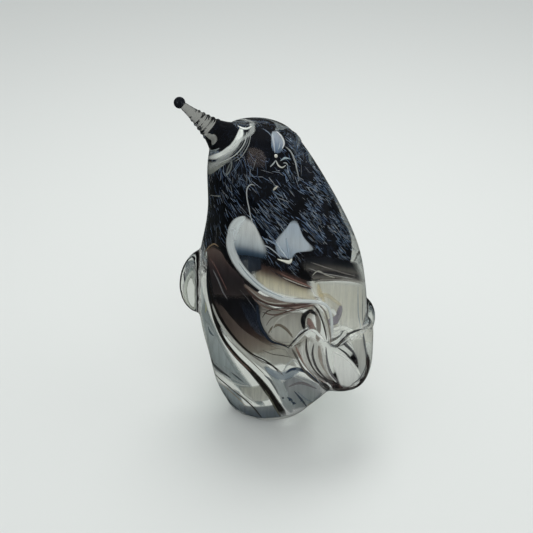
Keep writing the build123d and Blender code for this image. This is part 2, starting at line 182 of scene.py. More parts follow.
THREADS = {
    "dark_cane": [
        ("1A1716", 0.97, 3.2, [
            (209, 294, 2), (212, 310, 4), (217, 326, 5), (226, 343, 5.5), (237, 357, 6), (249, 369, 6.5),
            (259, 380, 8), (267, 390, 8.5), (274, 400, 8), (281, 410, 7.5), (285, 416, 4),
        ]),
        ("5C4A44", 0.80, 2.6, [(226, 344, 1), (234, 355, 2.5), (243, 364, 3), (252, 372, 2)]),
        ("5A594C", 0.75, 2.6, [(264, 388, 1), (270, 398, 2.5), (276, 409, 2.5), (281, 417, 1)]),
    ],
    "fine_cane": [
        ("2B2724", 0.92, 2.6, [
            (213, 372, 1.5), (221, 380, 2.4), (232, 389, 2.4), (243, 398, 2.6), (252, 406, 2.4),
            (258, 413, 2), (262, 418, 1),
        ]),
        ("9A8266", 0.65, 2.2, [(219, 381, 0.8), (229, 390, 1.4), (240, 400, 1.4), (248, 408, 0.8)]),
    ],
    "pale_ribbon": [
        ("D3D3CC", 0.92, 4.0, [
            (211, 302, 1), (215, 313, 2.5), (221, 324, 4.5), (229, 335, 5), (239, 346, 7), (250, 356, 8),
            (261, 364, 8), (271, 372, 7),
        ]),
        ("A9B1B4", 0.85, 4.4, [
            (262, 366, 2), (271, 373, 7), (278, 383, 9), (283, 394, 10), (288, 406, 8), (292, 413, 3),
        ]),
        ("6E6A64", 0.80, 3.4, [
            (222, 331, 0.8), (232, 343, 1.2), (244, 355, 1.4), (256, 366, 1.2), (266, 376, 0.8),
        ]),
        ("8D8880", 0.75, 3.2, [(226, 329, 0.6), (238, 343, 1.0), (250, 354, 1.0), (264, 364, 0.8)]),
        ("F0F0EA", 0.90, 3.0, [(212, 303, 0.8), (217, 315, 2), (223, 326, 2), (228, 332, 0.8)]),
        ("4A4E52", 0.75, 3.2, [(264, 375, 1), (270, 380, 3), (275, 388, 2), (279, 396, 0.8)]),
    ],
    "smoky_gather": [
        ("120F0E", 0.97, 2.4, [
            (208, 266, 1), (209, 284, 3), (213, 301, 4), (220, 317, 4.5), (229, 331, 3.6), (240, 344, 2.8),
            (252, 354, 2.2), (264, 360, 2), (274, 367, 1.8), (280, 374, 1),
        ]),
        ("1A202B", 0.92, 2.2, [
            (256, 299, 2), (258, 311, 3.5), (259, 322, 4.5), (264, 333, 4.5), (271, 341, 3), (279, 344, 2),
            (285, 346, 1.5), (290, 349, 1),
        ]),
        ("3C2E2C", 0.88, 2.4, [
            (244, 286, 1), (254, 296, 3), (266, 303, 3), (281, 306, 2.4), (297, 305, 2.4), (314, 303, 1),
        ]),
        ("7A6660", 0.75, 2.2, [
            (252, 297, 1), (263, 306, 3), (277, 310, 3), (293, 308, 2.4), (312, 305, 1),
        ]),
        ("6A5E58", 0.88, 2.8, [(244, 284, 2), (254, 294, 6), (266, 300, 6), (282, 303, 4), (296, 304, 2)]),
        ("B4B0A4", 0.60, 2.0, [(249, 289, 0.6), (261, 299, 1.2), (275, 303.5, 1.2), (290, 303, 0.8)]),
        ("4E3C38", 0.85, 2.0, [
            (262, 312, 1), (274, 315, 1.8), (289, 311, 2), (303, 307, 1.6), (315, 305, 1),
        ]),
        ("0E0F11", 0.97, 1.8, [
            (305, 331, 2), (303, 322, 5), (305, 314.5, 6), (311, 311.5, 5), (317, 316, 2),
        ]),
        ("8A827C", 0.85, 2.4, [(315, 310, 2), (318, 320, 6), (319, 332, 6), (318, 342, 2)]),
        ("735D58", 0.85, 2.2, [(308, 318, 2), (311, 324, 7), (315, 330, 3)]),
        ("241F1D", 0.90, 1.4, [
            (313, 305, 1), (318, 311, 1.8), (322, 320, 2), (325, 330, 2), (327, 340, 1.2),
        ]),
        ("D2D2CC", 0.85, 1.3, [
            (316, 305, 1), (321, 312, 2.4), (325, 322, 2.4), (328, 334, 2.2), (330, 344, 1),
        ]),
        ("6E6660", 0.80, 1.2, [
            (318, 304, 1), (324.5, 311, 1.6), (328, 322, 1.6), (330.5, 336, 1.4), (331, 346, 1),
        ]),
        ("5E564C", 0.75, 2.6, [
            (268, 334, 1), (272, 328, 2.5), (279, 325, 3), (287, 330, 3), (293, 338, 1.5),
        ]),
        ("4E4642", 0.75, 2.0, [(258, 304, 0.6), (274, 309, 1.2), (292, 311, 1.2), (308, 308, 0.6)]),
        ("37302E", 0.80, 2.0, [(262, 318, 0.6), (268, 311, 1.4), (282, 308, 1.2), (300, 309, 0.8)]),
        ("6C645E", 0.70, 2.0, [(266, 326, 0.6), (272, 318, 1.4), (284, 314, 1.2), (298, 313, 0.8)]),
        ("524A46", 0.75, 2.0, [(270, 338, 0.6), (280, 343, 1.2), (292, 346, 1.0), (302, 342, 0.6)]),
        ("433C38", 0.70, 2.0, [(262, 350, 0.6), (272, 354, 1.2), (284, 356, 1.2), (294, 358, 0.6)]),
        ("2E2A2A", 0.80, 2.0, [(252, 356, 0.6), (264, 362, 1.4), (276, 368, 1.2), (284, 376, 0.6)]),
        ("D8D6CC", 0.70, 2.4, [(271, 333, 0.8), (276, 322, 1.4), (286, 315, 1.4), (300, 311, 0.8)]),
        ("6A4A46", 0.60, 1.6, [(208, 256, 0.8), (215, 266, 1.4), (222, 280, 1.2), (228, 292, 0.8)]),
        ("6B6A6E", 0.55, 1.6, [(212, 268, 0.8), (218, 280, 2.4), (223, 292, 2), (228, 300, 0.8)]),
        ("55565C", 0.50, 1.6, [(240, 290, 0.5), (246, 297, 0.9), (252, 305, 0.9), (256, 312, 0.5)]),
    ],
    "ochre_tongue": [
        ("B59C6A", 0.28, 6.0, [(318, 283, 1.5), (320, 293, 6), (325, 303, 2)]),
        ("B7A37C", 0.25, 6.2, [(318, 296, 2), (326, 295, 7), (334, 300, 6), (342, 306, 2)]),
        ("77727C", 0.85, 5.4, [(341, 305, 3), (340, 311, 10), (338, 317, 9), (335, 325, 2.5)]),
        ("ECEEE8", 0.85, 4.6, [
            (334, 331, 3), (338, 328.5, 9), (345, 328.5, 12), (352, 330, 9), (356, 333, 3),
        ]),
        ("8E96A0", 0.80, 2.4, [(358, 286, 1), (358, 300, 2), (358.5, 315, 2), (361, 328, 1)]),
        ("505258", 0.80, 2.4, [(363, 288, 1), (362.5, 305, 1.6), (362.5, 318, 1.6), (364, 328, 1)]),
        ("8A8E94", 0.70, 2.4, [(366, 290, 1), (366, 306, 1.6), (366, 322, 1)]),
        ("2A2222", 0.85, 4.6, [(268, 268, 1), (284, 278, 2), (299, 285, 2.2), (312, 289, 1.5)]),
        ("6A4C46", 0.75, 4.4, [(278, 272, 0.8), (292, 279, 1.8), (304, 284, 1.8), (313, 288, 0.8)]),
        ("BDB9AC", 0.75, 4.2, [(282, 277, 0.6), (295, 282.5, 1), (308, 287, 0.8)]),
        ("A8A498", 0.70, 4.0, [(312, 276, 0.6), (318, 271, 1.2), (326, 275, 1.2), (336, 278, 0.8)]),
        ("6E6A66", 0.75, 4.0, [
            (314, 283, 0.8), (322, 280, 2), (338, 280, 2), (352, 281, 1.6), (363, 284, 0.8),
        ]),
        ("5A5654", 0.70, 4.0, [(310, 262, 0.8), (324, 267, 1.6), (340, 272, 1.6), (358, 277, 0.8)]),
        ("8C8A88", 0.60, 3.8, [(308, 268, 0.6), (322, 273, 1.2), (338, 276, 1.2), (356, 279.5, 0.6)]),
    ],
    "milky_swirl": [
        ("3B3C40", 0.88, 2.8, [(209, 358, 1), (214, 365, 6), (222, 372, 5), (231, 378, 1)]),
        ("343A44", 0.75, 2.4, [(231, 372, 0.8), (237, 377, 3), (243, 382, 0.8)]),
        ("CDD2D2", 0.80, 2.2, [(216, 363, 0.8), (226, 372, 1.6), (236, 380, 1.6), (247, 385, 0.8)]),
        ("E0E0DA", 0.85, 2.0, [(220, 373, 0.8), (230, 381, 1.6), (240, 385, 1.8), (250, 386, 0.8)]),
        ("B4BABC", 0.70, 2.0, [(224, 366, 0.8), (233, 372, 1.2), (243, 380, 1.2), (250, 385, 0.8)]),
        ("2D3848", 0.85, 2.2, [(227, 401, 1), (233, 405, 4), (239, 410, 1.5)]),
        ("D5D8D2", 0.85, 1.8, [(230, 387, 0.8), (242, 396, 2), (252, 403, 1)]),
        ("ECECE4", 0.90, 1.8, [(243, 392, 0.8), (250, 398, 3.5), (257, 404, 1)]),
        ("55606C", 0.70, 2.2, [(208, 326, 1), (210, 332, 4), (214, 336, 1)]),
        ("9A7E62", 0.80, 0.8, [(205, 252, 0.8), (209, 247, 1.8), (214, 244, 1.8), (219, 247, 0.8)]),
        # These two threads are painted glints: bright lens-like highlights in the clear strip by the left
        # flipper, laid as glass
        ("E8EAEA", 0.85, 0.8, [(204, 256, 0.8), (205.5, 263, 2), (206, 269, 0.8)]),
        ("C6C68E", 0.75, 0.8, [(205, 302, 0.8), (206, 308, 3), (205, 313, 0.8)]),
        ("3A4150", 0.80, 1.6, [(222, 414, 0.8), (232, 413, 1.2), (246, 417, 1.2), (262, 419.5, 0.8)]),
    ],
    "cloud_swirl": [
        ("2A3446", 0.90, 2.6, [
            (285, 374, 1.5), (293, 369, 4), (304, 371, 5), (314, 378, 4.5), (323, 386, 1.5),
        ]),
        ("C9CACC", 0.65, 2.2, [(292, 376, 0.8), (305, 381, 2), (320, 388, 0.8)]),
        ("6E686C", 0.75, 2.4, [(288, 387, 1), (301, 383, 4), (317, 389, 1)]),
        ("2C3646", 0.92, 1.8, [(287, 397, 0.8), (290, 399, 3.4), (292.5, 401, 0.8)]),
        ("2C3646", 0.92, 1.8, [(291, 401, 0.8), (294, 403, 3), (296, 404, 0.8)]),
        ("303846", 0.88, 1.8, [(294, 391, 0.8), (301, 399, 2.4), (307, 407, 1)]),
        ("C28A4E", 0.92, 0.8, [(307, 406, 0.8), (310.5, 403.5, 2.4), (314, 401, 0.8)]),
        ("8290A0", 0.60, 2.4, [
            (264, 366, 3), (273, 373, 9), (283, 376, 13), (293, 372, 11), (301, 368, 4),
        ]),
        ("C6CACC", 0.75, 2.0, [(283, 372, 1), (288, 364, 2.4), (295, 361, 2), (302, 369, 0.8)]),
        ("8FA0AE", 0.70, 2.0, [(298, 392, 0.8), (306, 399, 1.6), (312, 402, 0.8)]),
    ],
    # The two pale threads are painted reflection: the pale room seen on the clear ridge of the fold, laid
    # as milky glass under the skin
    "wing_veil": [
        ("C6CED2", 0.97, 2.0, [(246, 217, 3), (238, 222, 9), (233, 231, 11), (232, 241, 9)]),
        ("BEC4C8", 0.97, 1.2, [
            (236, 226, 4), (230, 238, 8), (232, 252, 9), (240, 267, 8), (252, 280, 7), (266, 291, 6),
            (284, 299, 5), (302, 301, 4), (318, 302, 3.4), (327, 306, 3), (331, 315, 2.8), (332, 328, 2.6),
            (332, 342, 1.4),
        ]),
        ("7E8A92", 0.80, 0.9, [(238, 262, 0.6), (249, 276, 1.2), (264, 289, 1.2), (284, 298, 0.8)]),
    ],
    # Painted light: a highlight at the crease's tip, and the pale blue wedge, a reflection of the room in
    # the hollow behind the fold, laid as glass
    "shoulder_veil": [
        ("F0EDDC", 0.97, 0.8, [(277, 259, 0.8), (284, 261, 2.4), (289.5, 262, 4), (292, 258, 1)]),
        ("B7C2D0", 0.75, 3.0, [(276, 241, 0.8), (281, 250, 1.8), (288, 259, 0.8)]),
        ("8FA0B6", 0.70, 3.0, [(286, 238, 0.8), (288, 249, 2.4), (290, 260, 0.8)]),
        ("A9B6C6", 0.65, 3.0, [(258, 247, 0.6), (266, 246, 1.2), (275, 252, 1.2), (282, 259, 0.6)]),
        ("7688A0", 0.60, 3.2, [(262, 238, 0.6), (270, 241, 1.6), (278, 246, 1.6), (284, 252, 0.6)]),
    ],
    "nape_thread": [
        ("A4A8AC", 0.62, 3.0, [
            (285, 146, 0.6), (291, 152, 1.6), (295, 161, 1.8), (297, 170, 1.4), (300, 182, 0.6),
        ]),
    ],
    "cheek_thread": [
        ("B9BEC4", 0.85, 3.0, [
            (256, 186, 0.6), (251, 184.5, 1.1), (247, 189, 1.2), (247, 198, 1.0), (249, 208, 1.2),
            (251, 218, 1.0), (256, 232, 1.0), (262, 240, 0.6),
        ]),
        ("A8ABA6", 0.60, 2.0, [(210, 195, 0.6), (216, 196, 0.8), (221, 196, 0.6)]),
    ],
    "star_trail": [
        ("D6D6CE", 0.92, 2.6, [(276, 160, 0.6), (278, 165, 1.6), (282, 167.5, 1.4), (286, 165, 0.6)]),
        ("8FA2B0", 0.80, 2.6, [(280, 161, 0.6), (285, 158, 2), (291, 159, 0.6)]),
        ("A9B0B4", 0.80, 2.6, [(270, 167, 0.6), (273, 164, 1.4), (276, 160, 0.8)]),
        ("A9B0B4", 0.80, 2.6, [(283, 163, 0.6), (286, 163, 1.2), (288, 166, 0.6)]),
        ("C4BEAE", 0.95, 2.4, [(273, 190.5, 1), (275.5, 188, 2.4), (278, 186, 1)]),
        ("9AA6B2", 0.70, 2.6, [(278, 150, 0.6), (279.5, 146, 1.2), (280, 141, 0.6)]),
    ],
    "crown_veil": [
        ("D2D4DA", 0.80, 2.6, [(276, 131, 0.8), (281, 136, 2.4), (284, 143, 2), (282, 149, 0.8)]),
        ("AEB6C6", 0.75, 2.6, [(272, 133, 0.8), (273, 139, 2.6), (274, 146, 1.6), (275, 153, 0.6)]),
        ("74849A", 0.60, 2.8, [(262, 128, 0.6), (269, 133, 1.2), (273, 139, 0.6)]),
    ],
    "tail_veil": [
        ("45413F", 0.85, 1.2, [
            (291, 347, 1.5), (297, 358, 3), (304, 370, 3), (314, 380, 3), (327, 387, 2.6), (342, 389, 2.2),
            (355, 384, 2),
        ]),
        ("735C55", 0.80, 1.8, [
            (295, 345, 1.5), (300, 356, 3), (307, 368, 2.6), (317, 378, 2), (328, 384, 1.2),
        ]),
        ("353232", 0.88, 1.8, [
            (306.5, 337, 1), (306.5, 350, 2.4), (311, 364, 2.4), (320, 376, 2.2), (332, 384, 1.4),
        ]),
        ("2E2C2E", 0.85, 1.8, [
            (314, 343, 1), (312.5, 355, 2.2), (317, 368, 2.2), (326, 379, 2.2), (338, 385, 1.2),
        ]),
        ("857B74", 0.70, 2.2, [(319, 345, 2), (320.5, 358, 4), (326.5, 371, 3), (335, 380, 1.2)]),
        ("4A484C", 0.70, 1.8, [(326, 346, 1), (327, 360, 2.4), (331, 373, 2.8), (340, 384, 1.4)]),
        ("DEDFDA", 0.80, 1.6, [(302, 343, 1), (302.5, 356, 2.6), (308, 368, 2.4), (318, 378, 1.4)]),
        ("D4D6D2", 0.75, 1.6, [(310, 338, 1), (309.5, 354, 1.8), (314.5, 368, 1.6), (324, 378, 1.2)]),
        ("C0C2C0", 0.70, 1.6, [(323, 348, 1), (323.5, 362, 2), (329, 374, 1.8), (337, 383, 1)]),
        # Painted highlight: the white crescent on the pouch's bulge
        ("F4F5F2", 0.95, 1.0, [
            (334, 352, 1.2), (342, 355.5, 2.6), (350, 361, 3.2), (357, 369.5, 3), (361, 377, 1),
        ]),
        ("28282B", 0.92, 1.2, [(337, 347, 1), (346, 353.5, 2), (353, 362, 2), (358, 370, 1)]),
        ("3C3C40", 0.85, 1.2, [(342, 341, 3), (347, 346, 3.4), (353, 352, 2.4), (358, 361, 1)]),
        ("4E5054", 0.85, 0.8, [(363, 333, 1.6), (364.5, 343, 3), (366, 352, 2.6), (367, 358, 1)]),
        ("5E6064", 0.60, 0.8, [(366, 364, 1), (364, 371, 2), (359, 379, 2.4), (351, 385, 1.6)]),
        ("1E1E20", 0.92, 0.4, [(288, 348, 1), (294, 341, 2), (302, 333, 1.8), (309, 329, 1)]),
        ("ECEEEC", 0.88, 0.4, [
            (290, 349, 0.8), (297, 342, 1.4), (304, 335, 1.6), (312, 330, 2.6), (319, 335, 3),
            (325, 342, 1),
        ]),
        ("202124", 0.92, 0.4, [(337, 345, 1), (345, 337, 2), (353, 332, 2), (361, 329, 2), (368, 328, 1)]),
        ("DADDDD", 0.80, 0.5, [(339, 346, 0.8), (347, 340, 1.2), (357, 334, 1.2), (366, 331, 0.8)]),
    ],
    "collar": [
        # The first two threads are painted highlights: the bright crescent round the beak's root and its
        # white glint, laid as pale glass
        ("E4E7E4", 1.00, 1.0, [
            (241, 127, 3), (240, 135, 7), (235, 144, 7.5), (227, 151, 7), (217, 156, 6), (207, 158, 3),
        ]),
        ("FAFBFA", 1.00, 0.5, [(238, 125.5, 1), (242, 128, 2.6), (247, 128.6, 3), (252, 126, 1)]),
        ("4A4D4E", 0.85, 0.8, [
            (245, 130, 0.6), (243.5, 140, 1.1), (237, 150, 1.1), (228, 157, 1.1), (217, 161, 0.6),
        ]),
        ("B4B8B6", 0.80, 0.8, [
            (247, 131, 0.6), (245, 142, 1.2), (238.5, 152, 1.2), (229, 159, 1.2), (218, 163, 0.6),
        ]),
        ("55585A", 0.80, 0.8, [
            (249, 132, 0.6), (247, 143, 1.2), (240, 154, 1.2), (231, 161, 1.2), (221, 165, 0.6),
        ]),
        ("8A8E8C", 0.75, 0.8, [(251, 134, 0.5), (248.5, 145, 0.9), (242, 156, 0.9), (234, 162, 0.5)]),
        ("A9ABA6", 0.85, 1.2, [(203, 134, 1), (209, 136, 5), (214, 139, 7), (212, 145, 2)]),
        ("6E7476", 0.75, 1.4, [(203, 142, 1), (206, 148, 4), (212, 151, 3), (220, 148, 1)]),
        ("6A6F70", 0.80, 2.0, [(232, 161, 1), (229.5, 168, 5), (226, 176, 2)]),
        ("20242A", 0.85, 1.6, [(231, 163, 0.6), (229.5, 168, 2), (227, 174, 0.6)]),
    ],
}

PANES = {
    "smoky_gather": [
        (1.00, 8.0, [
            ("0C0C10", [(206, 236), (214, 234), (226, 236)]),
            ("0D0D11", [(208, 262), (222, 260), (240, 262)]),
            ("0B0B0E", [(210, 284), (228, 283), (254, 284)]),
            ("0D0D10", [(214, 302), (232, 303), (262, 302)]),
            ("1A1719", [(222, 320), (240, 321), (262, 320)]),
            ("3A302C", [(233, 337), (247, 337), (268, 336)]),
            ("6E645A", [(248, 355), (262, 352), (284, 348)]),
        ]),
        (0.97, 5.5, [
            ("5A4A44", [(206, 249), (211, 245), (217, 247), (222, 252)]),
            ("3A3030", [(207, 262), (214, 261), (222, 262), (230, 264)]),
            ("221E20", [(209, 280), (220, 280), (232, 280), (247, 281)]),
            ("2E2828", [(212, 298), (225, 299), (240, 300), (256, 298)]),
        ]),
        (0.95, 5.0, [
            ("2E2828", [(211, 298), (215, 299), (219, 301)]),
            ("443B37", [(219, 316), (225, 317), (232, 317)]),
            ("524843", [(229, 331), (236, 331), (246, 331)]),
            ("6A6058", [(242, 346), (251, 344), (266, 343)]),
            ("8C8478", [(254, 357), (264, 354), (282, 349)]),
        ]),
        (0.60, 5.2, [
            ("12141A", [(238, 300), (247, 301), (256, 299)]),
            ("1C222E", [(244, 314), (251, 315), (258, 314)]),
            ("2A303C", [(252, 328), (257, 328), (262, 327)]),
            ("3C3E44", [(262, 338), (268, 338), (275, 340)]),
        ]),
        (0.90, 12.0, [
            ("6E645C", [(250, 296), (282, 300), (318, 300)]),
            ("A19E95", [(254, 318), (282, 320), (314, 320)]),
            ("A8A59C", [(258, 340), (283, 344), (304, 344)]),
            ("9A958C", [(252, 358), (280, 362), (300, 362)]),
        ]),
        (0.80, 7.0, [
            ("8E8A84", [(261, 307), (282, 311), (304, 308)]),
            ("AEACA4", [(258, 320), (281, 321), (304, 321)]),
            ("C6C4BA", [(265, 332), (283, 334), (300, 334)]),
            ("A09C92", [(274, 342), (286, 344), (294, 342)]),
        ]),
        (0.82, 6.0, [
            ("9C988C", [(250, 351), (266, 347), (286, 349)]),
            ("A4A298", [(262, 358), (275, 355), (292, 357)]),
            ("8E8C84", [(274, 367), (283, 365), (298, 368)]),
        ]),
        (0.35, 3.4, [
            ("4E4541", [(248, 147), (256, 147), (264, 152)]),
            ("4A4240", [(246, 157), (257, 157), (267, 160)]),
            ("3A3434", [(248, 167), (257, 168), (265, 168)]),
        ]),
    ],
    "ochre_tongue": [
        (0.80, 8.0, [
            ("D2CFBC", [(310, 279), (338, 280), (366, 283)]),
            ("CCC8B2", [(312, 292), (338, 293), (366, 295)]),
            ("C9C6B2", [(326, 306), (345, 308), (366, 310)]),
            ("CFCCBC", [(329, 320), (345, 321), (365, 323)]),
            ("DCDBD0", [(334, 331), (345, 331), (362, 332)]),
        ]),
        (0.92, 5.6, [
            ("171314", [(252, 259), (284, 270), (313, 282)]),
            ("4A3E36", [(252, 268), (284, 278), (313, 289)]),
            ("B2A688", [(254, 277), (283, 286), (315, 295)]),
            ("D2CAAE", [(260, 288), (286, 297), (319, 302)]),
        ]),
        (0.95, 5.0, [
            ("0B0B0E", [(296, 254), (330, 255), (358, 262)]),
            ("16171A", [(299, 262), (331, 263), (361, 269)]),
            ("3A3836", [(303, 269), (333, 269), (363, 274)]),
            ("232224", [(308, 274), (335, 274), (364, 278)]),
            ("6A6660", [(312, 281), (337, 280), (366, 284)]),
        ]),
    ],
    "milky_swirl": [
        (0.90, 5.5, [
            ("A8B2B4", [(205, 318), (209, 322), (215, 334)]),
            ("9EAAAE", [(206, 338), (215, 345), (228, 358)]),
            ("929EA2", [(209, 354), (222, 364), (240, 376)]),
            ("8A9498", [(214, 371), (228, 380), (248, 387)]),
        ]),
        (0.85, 5.2, [
            ("7C868C", [(215, 380), (228, 386), (240, 391)]),
            ("6C777E", [(219, 393), (232, 400), (246, 407)]),
            ("707A80", [(226, 407), (240, 413), (262, 418)]),
        ]),
        (0.95, 4.4, [
            ("80868A", [(238, 404), (256, 406), (277, 404)]),
            ("5C646C", [(241, 411), (258, 413), (282, 411)]),
            ("4A525A", [(249, 417), (264, 419), (284, 417)]),
        ]),
        (0.92, 6.6, [
            ("A9A89C", [(238, 386), (251, 386), (262, 384)]),
            ("C6C4B6", [(243, 395), (256, 395), (268, 393)]),
            ("D2D0C4", [(253, 402), (262, 402), (270, 400)]),
        ]),
    ],
    "cloud_swirl": [
        (0.90, 5.0, [
            ("7A8088", [(284, 373), (300, 374), (318, 384)]),
            ("8A8C90", [(284, 386), (302, 388), (323, 391)]),
            ("8E969A", [(287, 399), (303, 400), (317, 400)]),
            ("8A9296", [(291, 411), (301, 409), (309, 406)]),
        ]),
    ],
    "wing_veil": [
        # The three pale top rows of this pane are painted reflection: the pale room seen on the fold's
        # ridge
        (0.95, 2.6, [
            ("E6EBEC", [(237, 220), (243, 216), (249, 218), (255, 224)]),
            ("E0E6E8", [(229, 230), (239, 228), (250, 230), (262, 238)]),
            ("AEB9C2", [(226, 242), (235, 241), (247, 243), (268, 250)]),
            ("3C4856", [(228, 251), (236, 250), (247, 251), (269, 256)]),
            ("12151B", [(231, 259), (239, 258), (249, 258), (268, 261)]),
        ]),
        (0.90, 3.4, [
            ("141A22", [(230, 250), (240, 249), (250, 249), (262, 250)]),
            ("151B24", [(236, 263), (244, 263), (253, 262), (263, 261)]),
            ("14171D", [(246, 278), (251, 276), (256, 273), (262, 270)]),
        ]),
    ],
    # Painted reflection: the pale blue wedge in the hollow behind the fold
    "shoulder_veil": [
        (0.95, 3.6, [
            ("9BABC2", [(291, 221), (295, 219), (298, 222)]),
            ("A2B2C8", [(284, 230), (294, 231), (304, 237)]),
            ("AAB8CA", [(276, 239), (292, 243), (314, 250)]),
            ("8C9CB2", [(275, 248), (287, 252), (297, 253)]),
            ("7888A0", [(279, 257), (286, 259), (292, 260)]),
        ]),
    ],
    "crown_veil": [
        (0.68, 3.2, [
            ("8E97AA", [(272, 131), (277, 130), (282, 135)]),
            ("8893A8", [(271, 138), (277, 138), (284, 143)]),
            ("5E6E86", [(271, 145), (276, 147), (283, 150)]),
            ("3E4C60", [(273, 152), (276, 154), (279, 154)]),
        ]),
    ],
    "tail_veil": [
        # Painted highlight: the bright oval on the pouch's bulge, laid as white glass
        (1.00, 1.6, [
            ("F6F7F4", [(333, 351), (342, 354), (352, 361)]),
            ("FAFBF8", [(332, 361), (345, 366), (360, 374)]),
            ("F4F5F2", [(336, 375), (347, 379), (360, 381)]),
            ("DCDEDA", [(340, 386), (348, 388), (356, 386)]),
        ]),
        (0.92, 2.8, [
            ("A9A9A2", [(350, 339), (358, 336), (365, 335)]),
            ("ACACA6", [(354, 352), (361, 351), (366, 351)]),
            ("9C9E9B", [(358, 367), (362, 367), (366, 367)]),
            ("7E8082", [(352, 384), (358, 381), (364, 378)]),
        ]),
        (0.60, 3.4, [
            ("A8A49E", [(300, 340), (310, 334), (322, 342)]),
            ("A09C96", [(301, 354), (312, 352), (326, 356)]),
            ("9A9690", [(308, 370), (318, 368), (330, 372)]),
            ("8E8A86", [(322, 384), (328, 382), (336, 382)]),
        ]),
    ],
    "collar": [
        (0.85, 3.0, [
            ("7C7F7B", [(205, 160), (218, 162), (234, 158)]),
            ("8A8C86", [(206, 167), (214, 168), (226, 164)]),
            ("6E706C", [(208, 175), (211, 175), (216, 171)]),
        ]),
    ],
}

# Dots: piece, node, slot, colour, and photo x, photo y, depth and radius of each
DOTS = [
    ("star_dot", "star_bubble", "white_glass", "ECE8DC", [(276, 156, 2.4, 0.62)]),
    ("navy_chips", "navy_frit", "navy_glass", "1D2636", [
        (283, 398, 2.0, 0.5), (290, 400, 2.0, 0.6), (294, 404, 2.0, 0.5), (301, 401, 2.0, 0.4),
    ]),
]

# Kinds of laid glass: how patchy each is, and how strongly it glows. The glow is painted light that stands
# in for light between it and the casing, which isn't traced
LAID_KINDS = {
    "umber_cane": (0.05, 0.03),
    "opal_cane_and_painted_highlight": (0.10, 0.05),
    "opal_veil_and_painted_light": (0.10, 0.10),
    "smoky_gather_glass": (0.02, 0.06),
    "ochre_stain": (0.12, 0.09),
    "milky_blue_glass_and_painted_glints": (0.15, 0.03),
}

# The veils of the fold, the wedge and the pouch, the collar and the milk also hold painted highlights,
# glints and reflections
# Pieces of laid glass: piece, node, slot and kind
LAID_PIECES = [
    ("umber_ribbon", "dark_cane", "umber_glass", "umber_cane"),
    ("umber_thread", "fine_cane", "umber_glass", "umber_cane"),
    ("opal_ribbon", "pale_ribbon", "white_glass", "opal_cane_and_painted_highlight"),
    ("smoke", "smoky_gather", "smoky_glass", "smoky_gather_glass"),
    ("ochre_stain", "ochre_tongue", "ochre_glass", "ochre_stain"),
    ("milk_and_painted_glints", "milky_swirl", "cloud_glass", "milky_blue_glass_and_painted_glints"),
    ("cloud", "cloud_swirl", "cloud_glass", "milky_blue_glass_and_painted_glints"),
    ("fold_veil_and_painted_reflection", "wing_veil", "veil_glass", "opal_veil_and_painted_light"),
    ("wedge_painted_reflection", "shoulder_veil", "veil_glass", "opal_veil_and_painted_light"),
    ("lobe_streaks_and_painted_highlight", "tail_veil", "veil_glass", "opal_veil_and_painted_light"),
    ("nape_line", "nape_thread", "white_glass", "opal_cane_and_painted_highlight"),
    ("cheek_line", "cheek_thread", "white_glass", "opal_cane_and_painted_highlight"),
    ("crown_wisp", "crown_veil", "white_glass", "opal_cane_and_painted_highlight"),
    ("star_wisps", "star_trail", "white_glass", "opal_cane_and_painted_highlight"),
    ("collar_ring_and_painted_highlight", "collar", "clear_glass", "opal_cane_and_painted_highlight"),
]

# Threads: least half width, share of the length that thins out at an end, and how a border thins out
THREAD_LEAST = 0.04
THREAD_END_SHARE = 0.10
THREAD_EDGE_SLOPE = 1.9
THREAD_EDGE_COVER = 0.12

# Frit: seed, colours and heights, and how it thins out away from the camera and between clusters
FRIT_SEED = 7
FRIT_COLOURS = ["6F86AE", "8FA3C4", "5E7498", "A4ABB8", "4C6084"]
FRIT_HEIGHTS = (66.0, 116.0)
FRIT_FOOT_GAP = 1.5
FRIT_FAR_SHARE = 0.35
FRIT_FAR_HEADINGS = (20.0, 75.0)
FRIT_GAP_SHARE = 0.12
FRIT_GAP_NOISE = (-0.22, 0.12)

# One chip: share of the girth, how the crown draws it in, how its slope wanders, and its sizes and tones
CHIP_SHARES = (0.672, 0.71)
CHIP_DRAWN_IN = 0.10
CHIP_DRAWN_HEIGHTS = (104.0, 116.0)
CHIP_WANDER = 8.0
CHIP_CROWN_WANDER = 2.2
CHIP_CROWN_HEIGHTS = (96.0, 112.0)
CHIP_LENGTHS = (0.18, 1.0)
CHIP_LENGTH_POWER = 1.3
CHIP_WIDTHS = (0.4, 1.0)
CHIP_FLATNESS = 0.5
CHIP_TONES = (0.2, 1.25)

# Lamps: name, heading, rise, distance and size in metres, power in watts. They aim at a height in metres
LAMPS = [
    ("key", 235, 70, 0.48, 0.26, 1.25),
    ("fill", 150, 45, 0.9, 0.6, 0.5),
    ("front", 75, 48, 0.9, 0.7, 1.4),
]
LAMP_AIM = 0.06
CAMERA_NEAR = 0.01

# Steps between two rows of a table, and points round a section
FOLD_STEPS = 10
SECTION_STEPS = 5
BEAK_STEPS = 6
PANE_STEPS = 6
THREAD_STEPS = 6
INNER_STEPS = 8
COLLAR_STEPS = 60
BEAK_SEGMENTS = 48
CORE_SEGMENTS = 128
THREAD_SEGMENTS = 10
INNER_SEGMENTS = 20

# Rings of the body crowd towards the crown by a power, end just under it and keep a least radius
BODY_CROWDING = 1.5
BODY_TOP_GAP = 0.05
BODY_LEAST = 0.1

# Where the beak's smoky shaft starts, its rounds of smoothing, and how high and level the ground foot is
SHAFT_START = 22.5
BEAK_SMOOTHING = 2
FOOT_BAND = 0.4
FOOT_LEVEL = 0.9

# Share of the light around that reaches dull glass inside the casing
LIT_SHARE = 0.35
# Distance over which the skin's slope is evened out where a photo point meets it
SKIN_BLUR = 2.0
